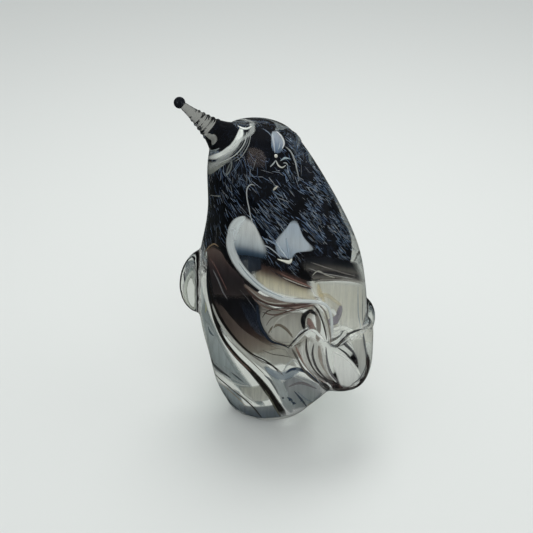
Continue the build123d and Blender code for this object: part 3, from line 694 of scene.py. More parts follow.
# A photo point just off the glass slides to the middle of the figure in so many steps
SLIDES = 60
PHOTO_MIDDLE = (280, 280)
LEVEL = (Vector((1, 0, 0)), Vector((0, 1, 0)), Vector((0, 0, 1)))


def linear(hex_colour, alpha=1.0):
    """An sRGB hex colour as linear red, green, blue and alpha."""
    parts = []
    for start in (0, 2, 4):
        value = int(hex_colour[start:start + 2], 16) / 255
        if value <= SRGB_KNEE:
            parts.append(value / SRGB_SLOPE)
        else:
            parts.append(((value + SRGB_OFFSET) / (1 + SRGB_OFFSET)) ** SRGB_POWER)
    return (*parts, alpha)


def outward(heading):
    """Level unit vector towards a heading."""
    return Vector((math.cos(math.radians(heading)), math.sin(math.radians(heading)), 0))


def ease(low, high, value):
    """Smooth step from 0 at low to 1 at high."""
    share = min(max((value - low) / (high - low), 0), 1)
    return share * share * (3 - 2 * share)


def curve_through(rows, steps):
    """Rows of numbers joined by a smooth curve, with a number of steps between two rows."""
    smooth = []
    last = len(rows) - 1
    for index in range(last):
        before, start, end, after = (rows[min(max(index + k, 0), last)] for k in (-1, 0, 1, 2))
        for step in range(steps):
            t = step / steps
            smooth.append(tuple(
                0.5 * (2 * b + (c - a) * t + (2 * a - 5 * b + 4 * c - d) * t * t
                       + (3 * b - a - 3 * c + d) * t ** 3)
                for a, b, c, d in zip(before, start, end, after)
            ))
    smooth.append(tuple(rows[last]))
    return smooth


def value_at(rows, place, column):
    """Value of a column where the first column is place, in straight lines between rows."""
    for low, high in zip(rows, rows[1:]):
        if place <= high[0]:
            share = min(max((place - low[0]) / (high[0] - low[0]), 0), 1)
            return low[column] + (high[column] - low[column]) * share
    return rows[-1][column]


def tree_of(mesh):
    """Search tree of a mesh, to shoot rays at."""
    return BVHTree.FromPolygons([v.co for v in mesh.vertices], [tuple(p.vertices) for p in mesh.polygons])


# The casing as packed: its middle and girth at each height, from rays shot at its outside

SLICES = 125
SLICE_RAYS = 24
SLICE_ROUNDS = 8
SLICE_FOOT_GAP = 0.2
SLICE_TOP_GAP = 0.4
FAR = 200.0


def measured_slices():
    """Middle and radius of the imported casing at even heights."""
    tree = tree_of(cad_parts["casing"].data)
    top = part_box("casing")[1].z
    rows = []
    centre = Vector((0, 0))
    for index in range(SLICES + 1):
        height = min(max(top * index / SLICES, SLICE_FOOT_GAP * MM), top - SLICE_TOP_GAP * MM)
        for _ in range(SLICE_ROUNDS):
            hits = []
            for ray in range(SLICE_RAYS):
                side = outward(360 * ray / SLICE_RAYS)
                start = Vector((centre.x, centre.y, height)) + side * FAR * MM
                hits.append(tree.ray_cast(start, -side)[0])
            centre = Vector((sum(h.x for h in hits), sum(h.y for h in hits))) / len(hits)
        reach = sum((h.xy - centre).length for h in hits) / len(hits)
        rows.append((height / MM, centre.x / MM, centre.y / MM, reach / MM))
    rows.append((top / MM, centre.x / MM, centre.y / MM, 0.0))
    return rows


SLICE_ROWS = measured_slices()
TOP = SLICE_ROWS[-1][0]


def middle(height):
    """Middle of the body at a height, in millimetres."""
    return Vector((value_at(SLICE_ROWS, height, 1), value_at(SLICE_ROWS, height, 2), height))


def girth(height):
    """Radius of the body at a height."""
    return value_at(SLICE_ROWS, height, 3)


def camera_axes():
    """Right, up and back of the camera."""
    azimuth = math.radians(VIEW_AZIMUTH)
    elevation = math.radians(VIEW_ELEVATION)
    right = Vector((math.cos(azimuth), math.sin(azimuth), 0))
    back = Vector((
        math.sin(azimuth) * math.cos(elevation),
        -math.cos(azimuth) * math.cos(elevation),
        math.sin(elevation),
    ))
    return right, back.cross(right), back


def camera_place():
    """Where the camera stands."""
    return (Vector(VIEW_TARGET) + camera_axes()[2] * VIEW_DISTANCE) * MM


def sight(x, y):
    """Direction from the camera through a pixel of the photograph."""
    right, up, back = camera_axes()
    half = PHOTO_WIDTH / 2
    return (right * (x - half) - up * (y - half) - back * PIXELS_PER_MM * VIEW_DISTANCE).normalized()


def refracted(direction, normal):
    """Direction of a ray after it enters the glass."""
    ratio = 1 / GLASS_IOR
    facing = -direction.dot(normal)
    inward = math.sqrt(1 - ratio ** 2 * (1 - facing ** 2))
    return direction * ratio + normal * (ratio * facing - inward)


# Search tree of the clear skin, kept by the operator that makes it
SKIN = {}


def seen(x, y, depth):
    """Point at a depth under the skin where the photograph shows a pixel, and the way out from it."""
    for step in range(SLIDES):
        share = step / SLIDES
        direction = sight(x + (PHOTO_MIDDLE[0] - x) * share, y + (PHOTO_MIDDLE[1] - y) * share)
        spot, normal, _, _ = SKIN["tree"].ray_cast(camera_place(), direction)
        if spot is not None:
            break
    total = Vector((0, 0, 0))
    for _, way, _, far in SKIN["tree"].find_nearest_range(spot, SKIN_BLUR * MM):
        total += way * (1 - far / (SKIN_BLUR * MM))
    normal = total.normalized() if total.length else normal
    bent = refracted(direction, normal)
    return spot + bent * depth * MM, (normal - bent).normalized()


def immersed(hex_colour):
    """The colour that glass needs inside the casing to be seen from outside as an sRGB hex colour."""
    parts = linear(hex_colour)[:3]
    return (*(part / (LIT_SHARE + (1 - LIT_SHARE) * part) for part in parts), 1.0)


def core_middle(height):
    """Middle of the dark core, which sits nearer to the beak's side than the casing's middle."""
    shift = CORE_SHIFT * ease(*CORE_SHIFT_START, height) * (1 - ease(*CORE_SHIFT_END, height))
    return middle(height) + outward(BEAK_HEADING) * shift


# Node helpers

def add(tree, kind, sockets=None, **settings):
    """Adds a node. settings are its properties, sockets are values, outputs or nodes for its inputs."""
    made = tree.nodes.new(kind)
    for key, value in settings.items():
        setattr(made, key, value)
    for key, value in (sockets or {}).items():
        if isinstance(value, bpy.types.Node):
            value = value.outputs[0]
        if isinstance(value, bpy.types.NodeSocket):
            tree.links.new(value, made.inputs[key])
        else:
            made.inputs[key].default_value = value
    return made


def product(tree, first, second, clamp=False):
    """Two values multiplied."""
    return add(tree, "ShaderNodeMath", {0: first, 1: second}, operation="MULTIPLY", use_clamp=clamp)


def tone(tree, share, dark, light):
    """A colour between two others."""
    return add(tree, "ShaderNodeMixRGB", {"Fac": share, "Color1": dark, "Color2": light})


def blend(tree, share, first, second):
    """A surface or a room between two others."""
    return add(tree, "ShaderNodeMixShader", {0: share, 1: first, 2: second})


def spread(tree, value, low, high, bottom=0.0):
    """A value stretched so that low gives bottom and high gives 1."""
    limits = {"From Min": low, "From Max": high, "To Min": bottom}
    return add(tree, "ShaderNodeMapRange", {"Value": value, **limits})


def blank(name):
    """A new material and its empty node tree."""
    material = bpy.data.materials.new(name)
    material.use_nodes = True
    material.node_tree.nodes.clear()
    return material, material.node_tree


def see_through(name, colour, roughness):
    """Clear glass of a colour, which lets lamp light pass to what lies under it."""
    shade = bpy.context.scene.glass_colours.shade
    material, tree = blank(name)
    glass = add(tree, "ShaderNodeBsdfPrincipled", {
        "Base Color": linear(colour),
        "Roughness": roughness,
        "IOR": GLASS_IOR,
        "Transmission Weight": 1.0,
    })
    path = add(tree, "ShaderNodeLightPath")
    let_through = add(tree, "ShaderNodeBsdfTransparent", {"Color": linear(shade)})
    surface = blend(tree, path.outputs["Is Shadow Ray"], glass, let_through)
    add(tree, "ShaderNodeOutputMaterial", {"Surface": surface})
    return material


def ground_glass():
    """The foot, ground flat on a wheel: a dull grey frosted face."""
    colours = bpy.context.scene.glass_colours
    material, tree = blank("wheel_ground_foot")
    place = add(tree, "ShaderNodeTexCoord").outputs["Object"]
    grit = add(tree, "ShaderNodeTexNoise", {"Vector": place, "Scale": 2500.0, "Detail": 2.0})
    colour = tone(tree, grit, linear(colours.foot_dark), linear(colours.foot_light))
    surface = add(tree, "ShaderNodeBsdfPrincipled", {"Base Color": colour, "Roughness": 0.55})
    add(tree, "ShaderNodeOutputMaterial", {"Surface": surface})
    return material


def dense_glass(name, dark, light, streak):
    """Glass so dense that it reads black, with faint milky streaks of rolled-in frit."""
    frit = bpy.context.scene.glass_frit
    wide = 1 / (frit.streak_width * MM)
    cloud = 1 / (frit.cloud_size * MM)
    material, tree = blank(name)
    place = add(tree, "ShaderNodeTexCoord").outputs["Object"]
    turned = add(tree, "ShaderNodeMapping", {
        "Vector": place,
        "Rotation": (math.radians(12), math.radians(-28), math.radians(20)),
        "Scale": (wide, wide, 1 / (frit.streak_length * MM)),
    })
    grain = add(tree, "ShaderNodeTexNoise", {
        "Vector": turned, "Scale": 1.0, "Detail": 3.0, "Roughness": 0.6, "Distortion": 0.5,
    })
    clouds = add(tree, "ShaderNodeTexNoise", {"Vector": place, "Scale": cloud, "Detail": 2.0})
    amount = product(tree, spread(tree, grain, 0.55, 0.8), spread(tree, clouds, 0.42, 0.66))
    colour = tone(tree, product(tree, amount, streak), linear(dark), linear(light))
    surface = add(tree, "ShaderNodeBsdfPrincipled", {
        "Base Color": colour, "Roughness": 0.5, "Specular IOR Level": 0.0,
    })
    add(tree, "ShaderNodeOutputMaterial", {"Surface": surface})
    return material


def laid_glass(name, patchy, painted_glow):
    """Coloured glass drawn out in threads and veils, streaked along them and thinned out at their borders.

    The last number is the strength of a painted glow in the glass's own colour. It is light that stands in
    for the light between milky glass and the casing, which isn't traced.
    """
    look = bpy.context.scene.glass_laid
    material, tree = blank(name)
    tint = add(tree, "ShaderNodeAttribute", attribute_name="tint")
    cover = add(tree, "ShaderNodeAttribute", attribute_name="cover")
    drawn = add(tree, "ShaderNodeMapping", {
        "Vector": add(tree, "ShaderNodeUVMap", uv_map="drawn"),
        "Scale": (1 / look.streak_length, 1 / look.streak_width, 1),
    })
    grain = add(tree, "ShaderNodeTexNoise", {
        "Vector": drawn, "Scale": 1.0, "Detail": 4.0, "Roughness": 0.6, "Distortion": 0.6,
    })
    darker = add(tree, "ShaderNodeHueSaturation", {"Color": tint, "Value": look.dark_streak})
    lighter = add(tree, "ShaderNodeHueSaturation", {"Color": tint, "Value": look.light_streak})
    colour = tone(tree, spread(tree, grain, 0.3, 0.7), darker, lighter)
    front = add(tree, "ShaderNodeBsdfPrincipled", {
        "Base Color": colour, "Roughness": 0.6, "Specular IOR Level": 0.0,
    })
    back = add(tree, "ShaderNodeBsdfTranslucent", {"Color": colour})
    # Painted light: the glass glows in its own colour
    painted_glow_shader = add(tree, "ShaderNodeEmission", {"Color": colour, "Strength": painted_glow})
    lit = blend(tree, look.glow_share, front, back)
    surface = add(tree, "ShaderNodeAddShader", {0: lit, 1: painted_glow_shader})
    solid = product(tree, cover.outputs["Fac"], spread(tree, grain, 0.35, 0.6, 1 - patchy))
    solid = product(tree, solid, look.density, True)
    gap = add(tree, "ShaderNodeBsdfTransparent")
    add(tree, "ShaderNodeOutputMaterial", {"Surface": blend(tree, solid, gap, surface)})
    return material


# Shapes

def finished(name, bm, materials, slot, *nodes):
    """A smooth piece made of a bmesh, riding on the body and standing for CAD nodes."""
    mesh = bpy.data.meshes.new(name)
    bm.to_mesh(mesh)
    bm.free()
    mesh.polygons.foreach_set("use_smooth", [True] * len(mesh.polygons))
    for material in materials:
        mesh.materials.append(material)
    made = bpy.data.objects.new(name, mesh)
    bpy.context.scene.collection.objects.link(made)
    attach(made, BODY)
    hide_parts(*nodes)
    return made


def placed(axes, centre):
    """Matrix that turns and stretches a shape along three axes and moves it to a centre."""
    place = Matrix([(*axis, 0) for axis in axes] + [(0, 0, 0, 1)]).transposed()
    place.translation = centre
    return place


def ring(bm, centre, axes, half_width, half_height, segments):
    """A ring of vertices round a centre. Its axes are its width, height and forward directions."""
    width, height, forward = axes
    place = placed((width * half_width, height * half_height, forward), centre)
    return bmesh.ops.create_circle(bm, segments=segments, radius=1, matrix=place)["verts"]


def loop_edges(verts):
    """Edges that join two of the vertices."""
    chosen = set(verts)
    return list({edge for vert in verts for edge in vert.link_edges if edge.other_vert(vert) in chosen})


def stacked(bm, rings):
    """Bridges rings into one closed skin."""
    for low, high in zip(rings, rings[1:]):
        bmesh.ops.bridge_loops(bm, edges=loop_edges(low) + loop_edges(high))
    for end in (rings[0], rings[-1]):
        bmesh.ops.contextual_create(bm, geom=loop_edges(end))


def layers(bm):
    """Colour, cover and drawing-out coordinates of laid glass."""
    return (
        bm.verts.layers.float_color.new("tint"),
        bm.verts.layers.float.new("cover"),
        bm.loops.layers.uv.new("drawn"),
    )


def dress(faces, held, places):
    """Writes colour, cover and coordinates, kept by vertex, into the layers of new faces."""
    tint, cover, drawn = held
    for face in faces:
        for loop in face.loops:
            colour, share, along, across = places[loop.vert]
            loop.vert[tint] = colour
            loop.vert[cover] = share
            loop[drawn].uv = (along, across)


def add_strand(bm, held, colour, cover, places, thickness, segments=THREAD_SEGMENTS):
    """A flat strand through places of (point, way out, width in mm), thinned out at its borders."""
    before = set(bm.faces)
    kept = {}
    rings = []
    length = 0.0
    for index, (point, out, width) in enumerate(places):
        ahead = places[min(index + 1, len(places) - 1)][0]
        behind = places[max(index - 1, 0)][0]
        forward = (ahead - behind).normalized()
        side = forward.cross(out).normalized()
        rise = side.cross(forward)
        if index:
            length += (point - places[index - 1][0]).length / MM
        half = max(width / 2, THREAD_LEAST) * MM
        verts = ring(bm, point, (side, rise, forward), half, min(thickness * MM / 2, half), segments)
        end = min(index, len(places) - 1 - index) / (THREAD_END_SHARE * len(places))
        for vert in verts:
            off = (vert.co - point).dot(side) / half
            fade = min(1, THREAD_EDGE_SLOPE * (1 - abs(off)) + THREAD_EDGE_COVER) * min(end, 1)
            kept[vert] = (immersed(colour), cover * fade, length, off * width / 2)
        rings.append(verts)
    stacked(bm, rings)
    dress([face for face in bm.faces if face not in before], held, kept)


def add_pane(bm, held, cover, depth, rows):
    """A thin veil across rows of photo points, each row of one colour, thinned out at its borders."""
    look = bpy.context.scene.glass_laid
    down = curve_through([tuple(part for spot in spots for part in spot) for _, spots in rows], PANE_STEPS)
    colours = curve_through([immersed(colour) for colour, _ in rows], PANE_STEPS)
    grid = []
    for line in down:
        spots = [tuple(line[k:k + 2]) for k in range(0, len(line), 2)]
        grid.append(curve_through(spots, PANE_STEPS))
    tall = len(grid)
    wide = len(grid[0])
    made = bmesh.ops.create_grid(bm, x_segments=wide - 1, y_segments=tall - 1, size=1)["verts"]
    kept = {}
    for index, vert in enumerate(made):
        row, column = divmod(index, wide)
        x, y = grid[row][column]
        vert.co = seen(x, y, depth)[0]
        border = min(row / (tall - 1), 1 - row / (tall - 1), column / (wide - 1), 1 - column / (wide - 1))
        colour = tuple(min(max(part, 0), 1) for part in colours[row])
        fade = ease(0, look.fade_share, border)
        kept[vert] = (colour, cover * fade, y / PIXELS_PER_MM, x / PIXELS_PER_MM)
    faces = list({face for vert in made for face in vert.link_faces})
    dress(faces, held, kept)


def seen_places(depth, rows):
    """Places along a route of photo x, photo y and width in pixels, at a depth under the skin."""
    places = []
    for x, y, width in curve_through(rows, THREAD_STEPS):
        point, out = seen(x, y, depth)
        places.append((point, out, width / PIXELS_PER_MM))
    return places


def inner_places(rows):
    """Places along a route of heading, height, share of the girth and width."""
    places = []
    for heading, height, share, width in curve_through(rows, INNER_STEPS):
        place = middle(height) + outward(heading) * girth(height) * share
        places.append((place * MM, outward(heading), width))
    return places


def laid(name, node, slot, material, strands):
    """One piece of laid glass: the panes and threads of a node, and thick strands deeper in the body.

    A thick strand is a colour, a cover, its places and its thickness.
    """
    look = bpy.context.scene.glass_laid
    bm = bmesh.new()
    held = layers(bm)
    for cover, depth, rows in PANES.get(node, ()):
        add_pane(bm, held, cover, depth, rows)
    for colour, cover, depth, rows in THREADS.get(node, ()):
        add_strand(bm, held, colour, cover, seen_places(depth, rows), look.thickness)
    for strand in strands:
        add_strand(bm, held, *strand, INNER_SEGMENTS)
    return finished(name, bm, [material], slot, node)


def fold_rise(spot, crest):
    """How far the fold lifts the skin at a point near its crest."""
    best = 0.0
    for point, width, rise in crest:
        off = (spot - point).length / (width * MM)
        if off < 1:
            best = max(best, rise * (1 - off * off) ** 2)
    return best


def add_body(bm, sizes):
    """The body as a stack of rings from foot to crown, lifted where the fold runs."""
    tree = tree_of(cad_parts["casing"].data)
    crest = []
    for x, y, width, rise in curve_through(FOLD_ROUTE, FOLD_STEPS):
        crest.append((tree.ray_cast(camera_place(), sight(x, y))[0], width, rise))
    rings = []
    for row in range(sizes.rows + 1):
        height = min(TOP * (1 - (1 - row / sizes.rows) ** BODY_CROWDING), TOP - BODY_TOP_GAP)
        reach = max(girth(height), BODY_LEAST) * MM
        rings.append(ring(bm, middle(height) * MM, LEVEL, reach, reach, sizes.columns))
    stacked(bm, rings)
    for vert in bm.verts:
        centre = middle(vert.co.z / MM) * MM
        out = Vector((vert.co.x - centre.x, vert.co.y - centre.y, 0))
        if out.length > MM:
            vert.co += out.normalized() * fold_rise(vert.co, crest) * MM


def add_tail(bm):
    """The tail pouch, through upright sections round the body."""
    outline = curve_through(TAIL_WALL, SECTION_STEPS) + TAIL_TOP
    rings = []
    axis = Vector((*middle(TAIL_MIDDLE).xy, 0))
    for heading, lip, foot, reach in curve_through(TAIL_ROWS, SECTION_STEPS):
        spots = [
            (foot + (lip - foot) * high, TAIL_ROOT + (reach - TAIL_ROOT) * far)
            for high, far in outline
        ]
        verts = ring(bm, axis, LEVEL, 1, 1, len(spots))
        for vert, (height, far) in zip(verts, spots):
            vert.co = (axis + outward(heading) * far + Vector((0, 0, height))) * MM
        rings.append(verts)
    stacked(bm, rings)


def add_flippers(bm):
    """Egg-shaped lobes on both sides, each leaning out a little."""
    for heading, height, size in FLIPPERS:
        out = outward(heading)
        seat = middle(height) + out * girth(height) * FLIPPER_SEAT
        turn = Matrix.Rotation(math.radians(heading), 4, "Z")
        lean = Matrix.Rotation(math.radians(-FLIPPER_TILT), 4, "Y")
        stretch = Matrix.Diagonal((*[half * size * MM for half in FLIPPER_HALF], 1))
        place = Matrix.Translation(seat * MM) @ turn @ lean @ stretch
        bmesh.ops.create_icosphere(bm, subdivisions=4, radius=1, matrix=place)


def beak_frame():
    """Middle of the head on the beak's axis, and the beak's direction."""
    low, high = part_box("beak_tip")
    rise = math.radians(BEAK_RISE)
    direction = outward(BEAK_HEADING) * math.cos(rise) + Vector((0, 0, math.sin(rise)))
    return (low + high) / 2 - direction * BEAK_LENGTH * MM, direction


def across_beak():
    """Two directions square to the beak."""
    direction = beak_frame()[1]
    side = direction.cross(Vector((0, 0, 1))).normalized()
    return side, side.cross(direction)


def add_beak(bm):
    """The flared root and shaft of the beak, through round sections."""
    root, direction = beak_frame()
    side, rise = across_beak()
    rings = []
    for place, radius in curve_through(BEAK_PROFILE, BEAK_STEPS):
        spot = root + direction * place * MM
        rings.append(ring(bm, spot, (side, rise, direction), radius * MM, radius * MM, BEAK_SEGMENTS))
    stacked(bm, rings)


def remeshed(bm, voxel):
    """One even skin round everything in a bmesh."""
    bmesh.ops.recalc_face_normals(bm, faces=bm.faces)
    mesh = bpy.data.meshes.new("joined")
    bm.to_mesh(mesh)
    bm.free()
    holder = bpy.data.objects.new("joined", mesh)
    bpy.context.scene.collection.objects.link(holder)
    modifier = holder.modifiers.new("skin", "REMESH")
    modifier.mode = "VOXEL"
    modifier.voxel_size = voxel * MM
    graph = bpy.context.evaluated_depsgraph_get()
    result = bmesh.new()
    result.from_mesh(holder.evaluated_get(graph).to_mesh())
    bpy.data.objects.remove(holder)
    bpy.data.meshes.remove(mesh)
    return result


def settle(bm, sizes):
    """Smooths the skin, less on the beak, and presses rings into the beak's shaft."""
    root, direction = beak_frame()
    broad = [vert for vert in bm.verts if (vert.co - root).dot(direction) < RING_START * MM]
    every_way = {"use_axis_x": True, "use_axis_y": True, "use_axis_z": True}
    for verts, rounds in ((broad, sizes.smoothing), (bm.verts, BEAK_SMOOTHING)):
        for _ in range(rounds):
            bmesh.ops.smooth_vert(bm, verts=verts, factor=0.5, **every_way)
    for vert in bm.verts:
        off = vert.co - root
        place = off.dot(direction) / MM
        if RING_START < place < RING_END:
            radial = off - direction * off.dot(direction)
            wave = math.cos(2 * math.pi * (place - RING_START) / RING_PITCH)
            fade = ease(RING_START, RING_START + RING_FADE_IN, place)
            fade *= 1 - ease(RING_END - RING_FADE_OUT, RING_END, place)
            vert.co += radial.normalized() * wave * fade * sizes.ring_depth * MM
        vert.co.z = max(vert.co.z, 0.0)


class SkinSettings(bpy.types.PropertyGroup):
    """Sizes of the clear outer skin."""
    rows: IntProperty(name="Rows", description="Rings from foot to crown", default=150, min=20)
    columns: IntProperty(name="Columns", description="Points round each ring", default=240, min=24)
    voxel: FloatProperty(name="Voxel", description="Size of the skin's faces, in mm", default=0.65)
    smoothing: IntProperty(name="Smoothing", description="Rounds of smoothing of the fused skin", default=6)
    ring_depth: FloatProperty(name="Ring depth", description="Depth of the rings, in mm", default=0.24)


class FritSettings(bpy.types.PropertyGroup):
    """Sizes of the stretched chips on the dark core."""
    count: IntProperty(name="Chips", description="Number of chips", default=2500, min=0)
    length: FloatProperty(name="Length", description="Longest chip, in mm", default=5.8)
    width: FloatProperty(name="Width", description="Widest chip, in mm", default=0.32)
    slope: FloatProperty(name="Slope", description="How steeply chips run, in degrees", default=62.0)
    streak_length: FloatProperty(name="Streak length", description="Length of a streak, in mm", default=3.2)
    streak_width: FloatProperty(name="Streak width", description="Width of a streak, in mm", default=0.35)
    cloud_size: FloatProperty(name="Cloud size", description="Size of the milky areas, in mm", default=9.0)
    cluster: FloatProperty(name="Cluster", description="Size of the denser clusters, in mm", default=10.0)


class LaidSettings(bpy.types.PropertyGroup):
    """Look of the threads and veils."""
    thickness: FloatProperty(name="Thickness", description="Thickness of a thread, in mm", default=0.5)
    fade_share: FloatProperty(
        name="Fade", description="Share of a veil that thins out",
        default=0.13, min=0, max=1, subtype="FACTOR",
    )
    glow_share: FloatProperty(
        name="Glow", description="Share of light from behind",
        default=0.35, min=0, max=1, subtype="FACTOR",
    )
    density: FloatProperty(name="Density", description="How strongly the colour covers", default=1.12)
    streak_length: FloatProperty(name="Streak length", description="Length of streaks, in mm", default=12.0)
    streak_width: FloatProperty(name="Streak width", description="Width of streaks, in mm", default=1.3)
    dark_streak: FloatProperty(name="Dark streak", description="Brightness of dark ones", default=0.90)
    light_streak: FloatProperty(name="Light streak", description="Brightness of light ones", default=1.08)


class GlassColours(bpy.types.PropertyGroup):
    """Colours of the glass, as sRGB hex."""
    clear: StringProperty(name="Clear", description="Clear glass", default="ECEFEA")
    shaft: StringProperty(name="Shaft", description="Ringed glass of the beak's shaft", default="A9A9A6")
    shade: StringProperty(name="Shade", description="Light that clear glass lets by", default="E2E6E4")
    core: StringProperty(name="Core", description="Dark core", default="0A0C12")
    frit: StringProperty(name="Frit", description="Streaks in the dark core", default="6F86AE")
    bead: StringProperty(name="Bead", description="Bead at the beak's tip", default="15171B")
    bead_streak: StringProperty(name="Bead streaks", description="Streaks in the bead", default="8E9398")
    foot_dark: StringProperty(name="Foot, dark", description="Dark grit of the foot", default="8F979B")
    foot_light: StringProperty(name="Foot, light", description="Light grit of the foot", default="A3A9AC")
    milky: StringProperty(name="Milky", description="Milky glass low on the left", default="8E999D")
    cloud: StringProperty(name="Cloud", description="Cloudy glass low at the back", default="7E868C")
    collar: StringProperty(name="Collar", description="Pale glass of the collar", default="C4C9C8")


class StageSettings(bpy.types.PropertyGroup):
    """Light and floor."""
    lamp: FloatProperty(name="Lamps", description="Brightness of the three lamps", default=1.0)
    room: FloatProperty(name="Room", description="Strength of the light all round", default=0.72)
    room_colour: StringProperty(name="Room colour", description="Colour of the room", default="F6F8FA")
    mirror: FloatProperty(name="Mirror", description="Strength of the room in reflections", default=0.10)
    through: FloatProperty(name="Through", description="Strength of the room behind glass", default=0.50)
    floor_through: FloatProperty(
        name="Floor through", description="Strength of the floor behind glass", default=0.86,
    )
    floor_share: FloatProperty(
        name="Floor share", description="How far that floor counts",
        default=0.65, min=0, max=1, subtype="FACTOR",
    )
    floor_size: FloatProperty(
        name="Floor size", description="Half the floor's side", default=4.0, unit="LENGTH",
    )
    floor_mirror: StringProperty(name="Mirrored", description="The floor in reflections", default="30322F")
    floor: StringProperty(name="Floor", description="Colour of the floor", default="D3D6D3")


class GLASS_OT_skin(bpy.types.Operator):
    """Clear casing with its beak, fold, flippers and tail, as one fused skin"""
    bl_idname = "glass.skin"
    bl_label = "Clear skin"

    def execute(self, context):
        sizes = context.scene.glass_skin
        colours = context.scene.glass_colours
        bm = bmesh.new()
        add_body(bm, sizes)
        add_beak(bm)
        add_tail(bm)
        add_flippers(bm)
        bm = remeshed(bm, sizes.voxel)
        settle(bm, sizes)
        bm.normal_update()
        root, direction = beak_frame()
        for face in bm.faces:
            spot = face.calc_center_median()
            if (spot - root).dot(direction) > SHAFT_START * MM:
                face.material_index = 1
            elif spot.z < FOOT_BAND * MM and face.normal.z < -FOOT_LEVEL:
                face.material_index = 2
        materials = [
            see_through("fire_polished_soda_glass", colours.clear, 0.0),
            see_through("ringed_smoky_glass", colours.shaft, 0.04),
            ground_glass(),
        ]
        made = finished(
            "clear_skin", bm, materials, "clear_glass",
            "casing", "beak", "wing_fold", "left_flipper", "right_flipper", "tail_lobe",
        )
        SKIN["tree"] = tree_of(made.data)
        return {"FINISHED"}


class GLASS_OT_core(bpy.types.Operator):
    """Dark core of the head and back, and the dark glass of the beak"""
    bl_idname = "glass.core"
    bl_label = "Dark core"

    def execute(self, context):
        colours = context.scene.glass_colours
        material = dense_glass("navy_gather", colours.core, colours.frit, CORE_STREAKS)
        bm = bmesh.new()
        rings = []
        foot = CORE_ROWS[0][0]
        for height, share in curve_through(CORE_ROWS, SECTION_STEPS):
            verts = ring(bm, Vector((0, 0, height)), LEVEL, 1, 1, CORE_SEGMENTS)
            fade = max(1 - (height - foot) / CORE_FADE, 0)
            for vert in verts:
                heading = math.degrees(math.atan2(vert.co.y, vert.co.x))
                level = height + (value_at(CORE_FOOT, heading, 1) - foot) * fade
                vert.co = (core_middle(level) + outward(heading) * girth(level) * share) * MM
            rings.append(verts)
        stacked(bm, rings)
        bmesh.ops.recalc_face_normals(bm, faces=bm.faces)
        finished("navy_core", bm, [material], "navy_glass", "dark_core")
        mottled = dense_glass("navy_bead", colours.bead, colours.bead_streak, BEAD_STREAKS)
        for node in ("beak_tip", "beak_heart"):
            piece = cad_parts[node]
            piece.data.materials.clear()
            piece.data.materials.append(mottled if node == "beak_tip" else material)
        return {"FINISHED"}


class GLASS_OT_frit(bpy.types.Operator):
    """Blue and grey chips stretched along the core"""
    bl_idname = "glass.frit"
    bl_label = "Frit"

    def execute(self, context):
        sizes = context.scene.glass_frit
        draw = random.Random(FRIT_SEED)
        bm = bmesh.new()
        held = layers(bm)
        made = 0
        while made < sizes.count:
            heading = draw.uniform(-180, 180)
            height = draw.uniform(*FRIT_HEIGHTS)
            dense = FRIT_FAR_SHARE + (1 - FRIT_FAR_SHARE) * ease(*FRIT_FAR_HEADINGS, heading)
            foot = value_at(CORE_FOOT, heading, 1) + FRIT_FOOT_GAP
            spot = (middle(height) + outward(heading) * girth(height)) / sizes.cluster
            dense *= FRIT_GAP_SHARE + (1 - FRIT_GAP_SHARE) * ease(*FRIT_GAP_NOISE, noise.noise(spot))
            if height < foot or draw.random() > dense:
                continue
            made += 1
            self.add_chip(bm, held, draw, sizes, heading, height)
        material = laid_glass("stretched_opal_frit", 0.0, 0.0)
        finished("opal_chips", bm, [material], "white_glass", "white_frit")
        return {"FINISHED"}

    def add_chip(self, bm, held, draw, sizes, heading, height):
        """One chip, drawn out along the slope of the skin."""
        share = draw.uniform(*CHIP_SHARES) * (1 - CHIP_DRAWN_IN * ease(*CHIP_DRAWN_HEIGHTS, height))
        loose = 1 + CHIP_CROWN_WANDER * ease(*CHIP_CROWN_HEIGHTS, height)
        slope = math.radians(sizes.slope + draw.gauss(0, CHIP_WANDER) * loose)
        long_half = sizes.length * draw.uniform(*CHIP_LENGTHS) ** CHIP_LENGTH_POWER / 2
        wide_half = sizes.width * draw.uniform(*CHIP_WIDTHS) / 2
        point = core_middle(height) + outward(heading) * girth(height) * share
        low = height - long_half * math.sin(slope)
        turn = heading + math.degrees(long_half * math.cos(slope) / (girth(height) * share))
        forward = (core_middle(low) + outward(turn) * girth(low) * share - point).normalized()
        out = outward(heading)
        side = forward.cross(out).normalized()
        out = side.cross(forward)
        axes = (forward * long_half * MM, side * wide_half * MM, out * wide_half * CHIP_FLATNESS * MM)
        place = placed(axes, point * MM)
        verts = bmesh.ops.create_icosphere(bm, subdivisions=1, radius=1, matrix=place)["verts"]
        bright = draw.uniform(*CHIP_TONES)
        colour = tuple(min(part * bright, 1) for part in immersed(draw.choice(FRIT_COLOURS))[:3])
        faces = {face for vert in verts for face in vert.link_faces}
        dress(faces, held, {vert: ((*colour, 1.0), 1.0, 0.0, 0.0) for vert in verts})


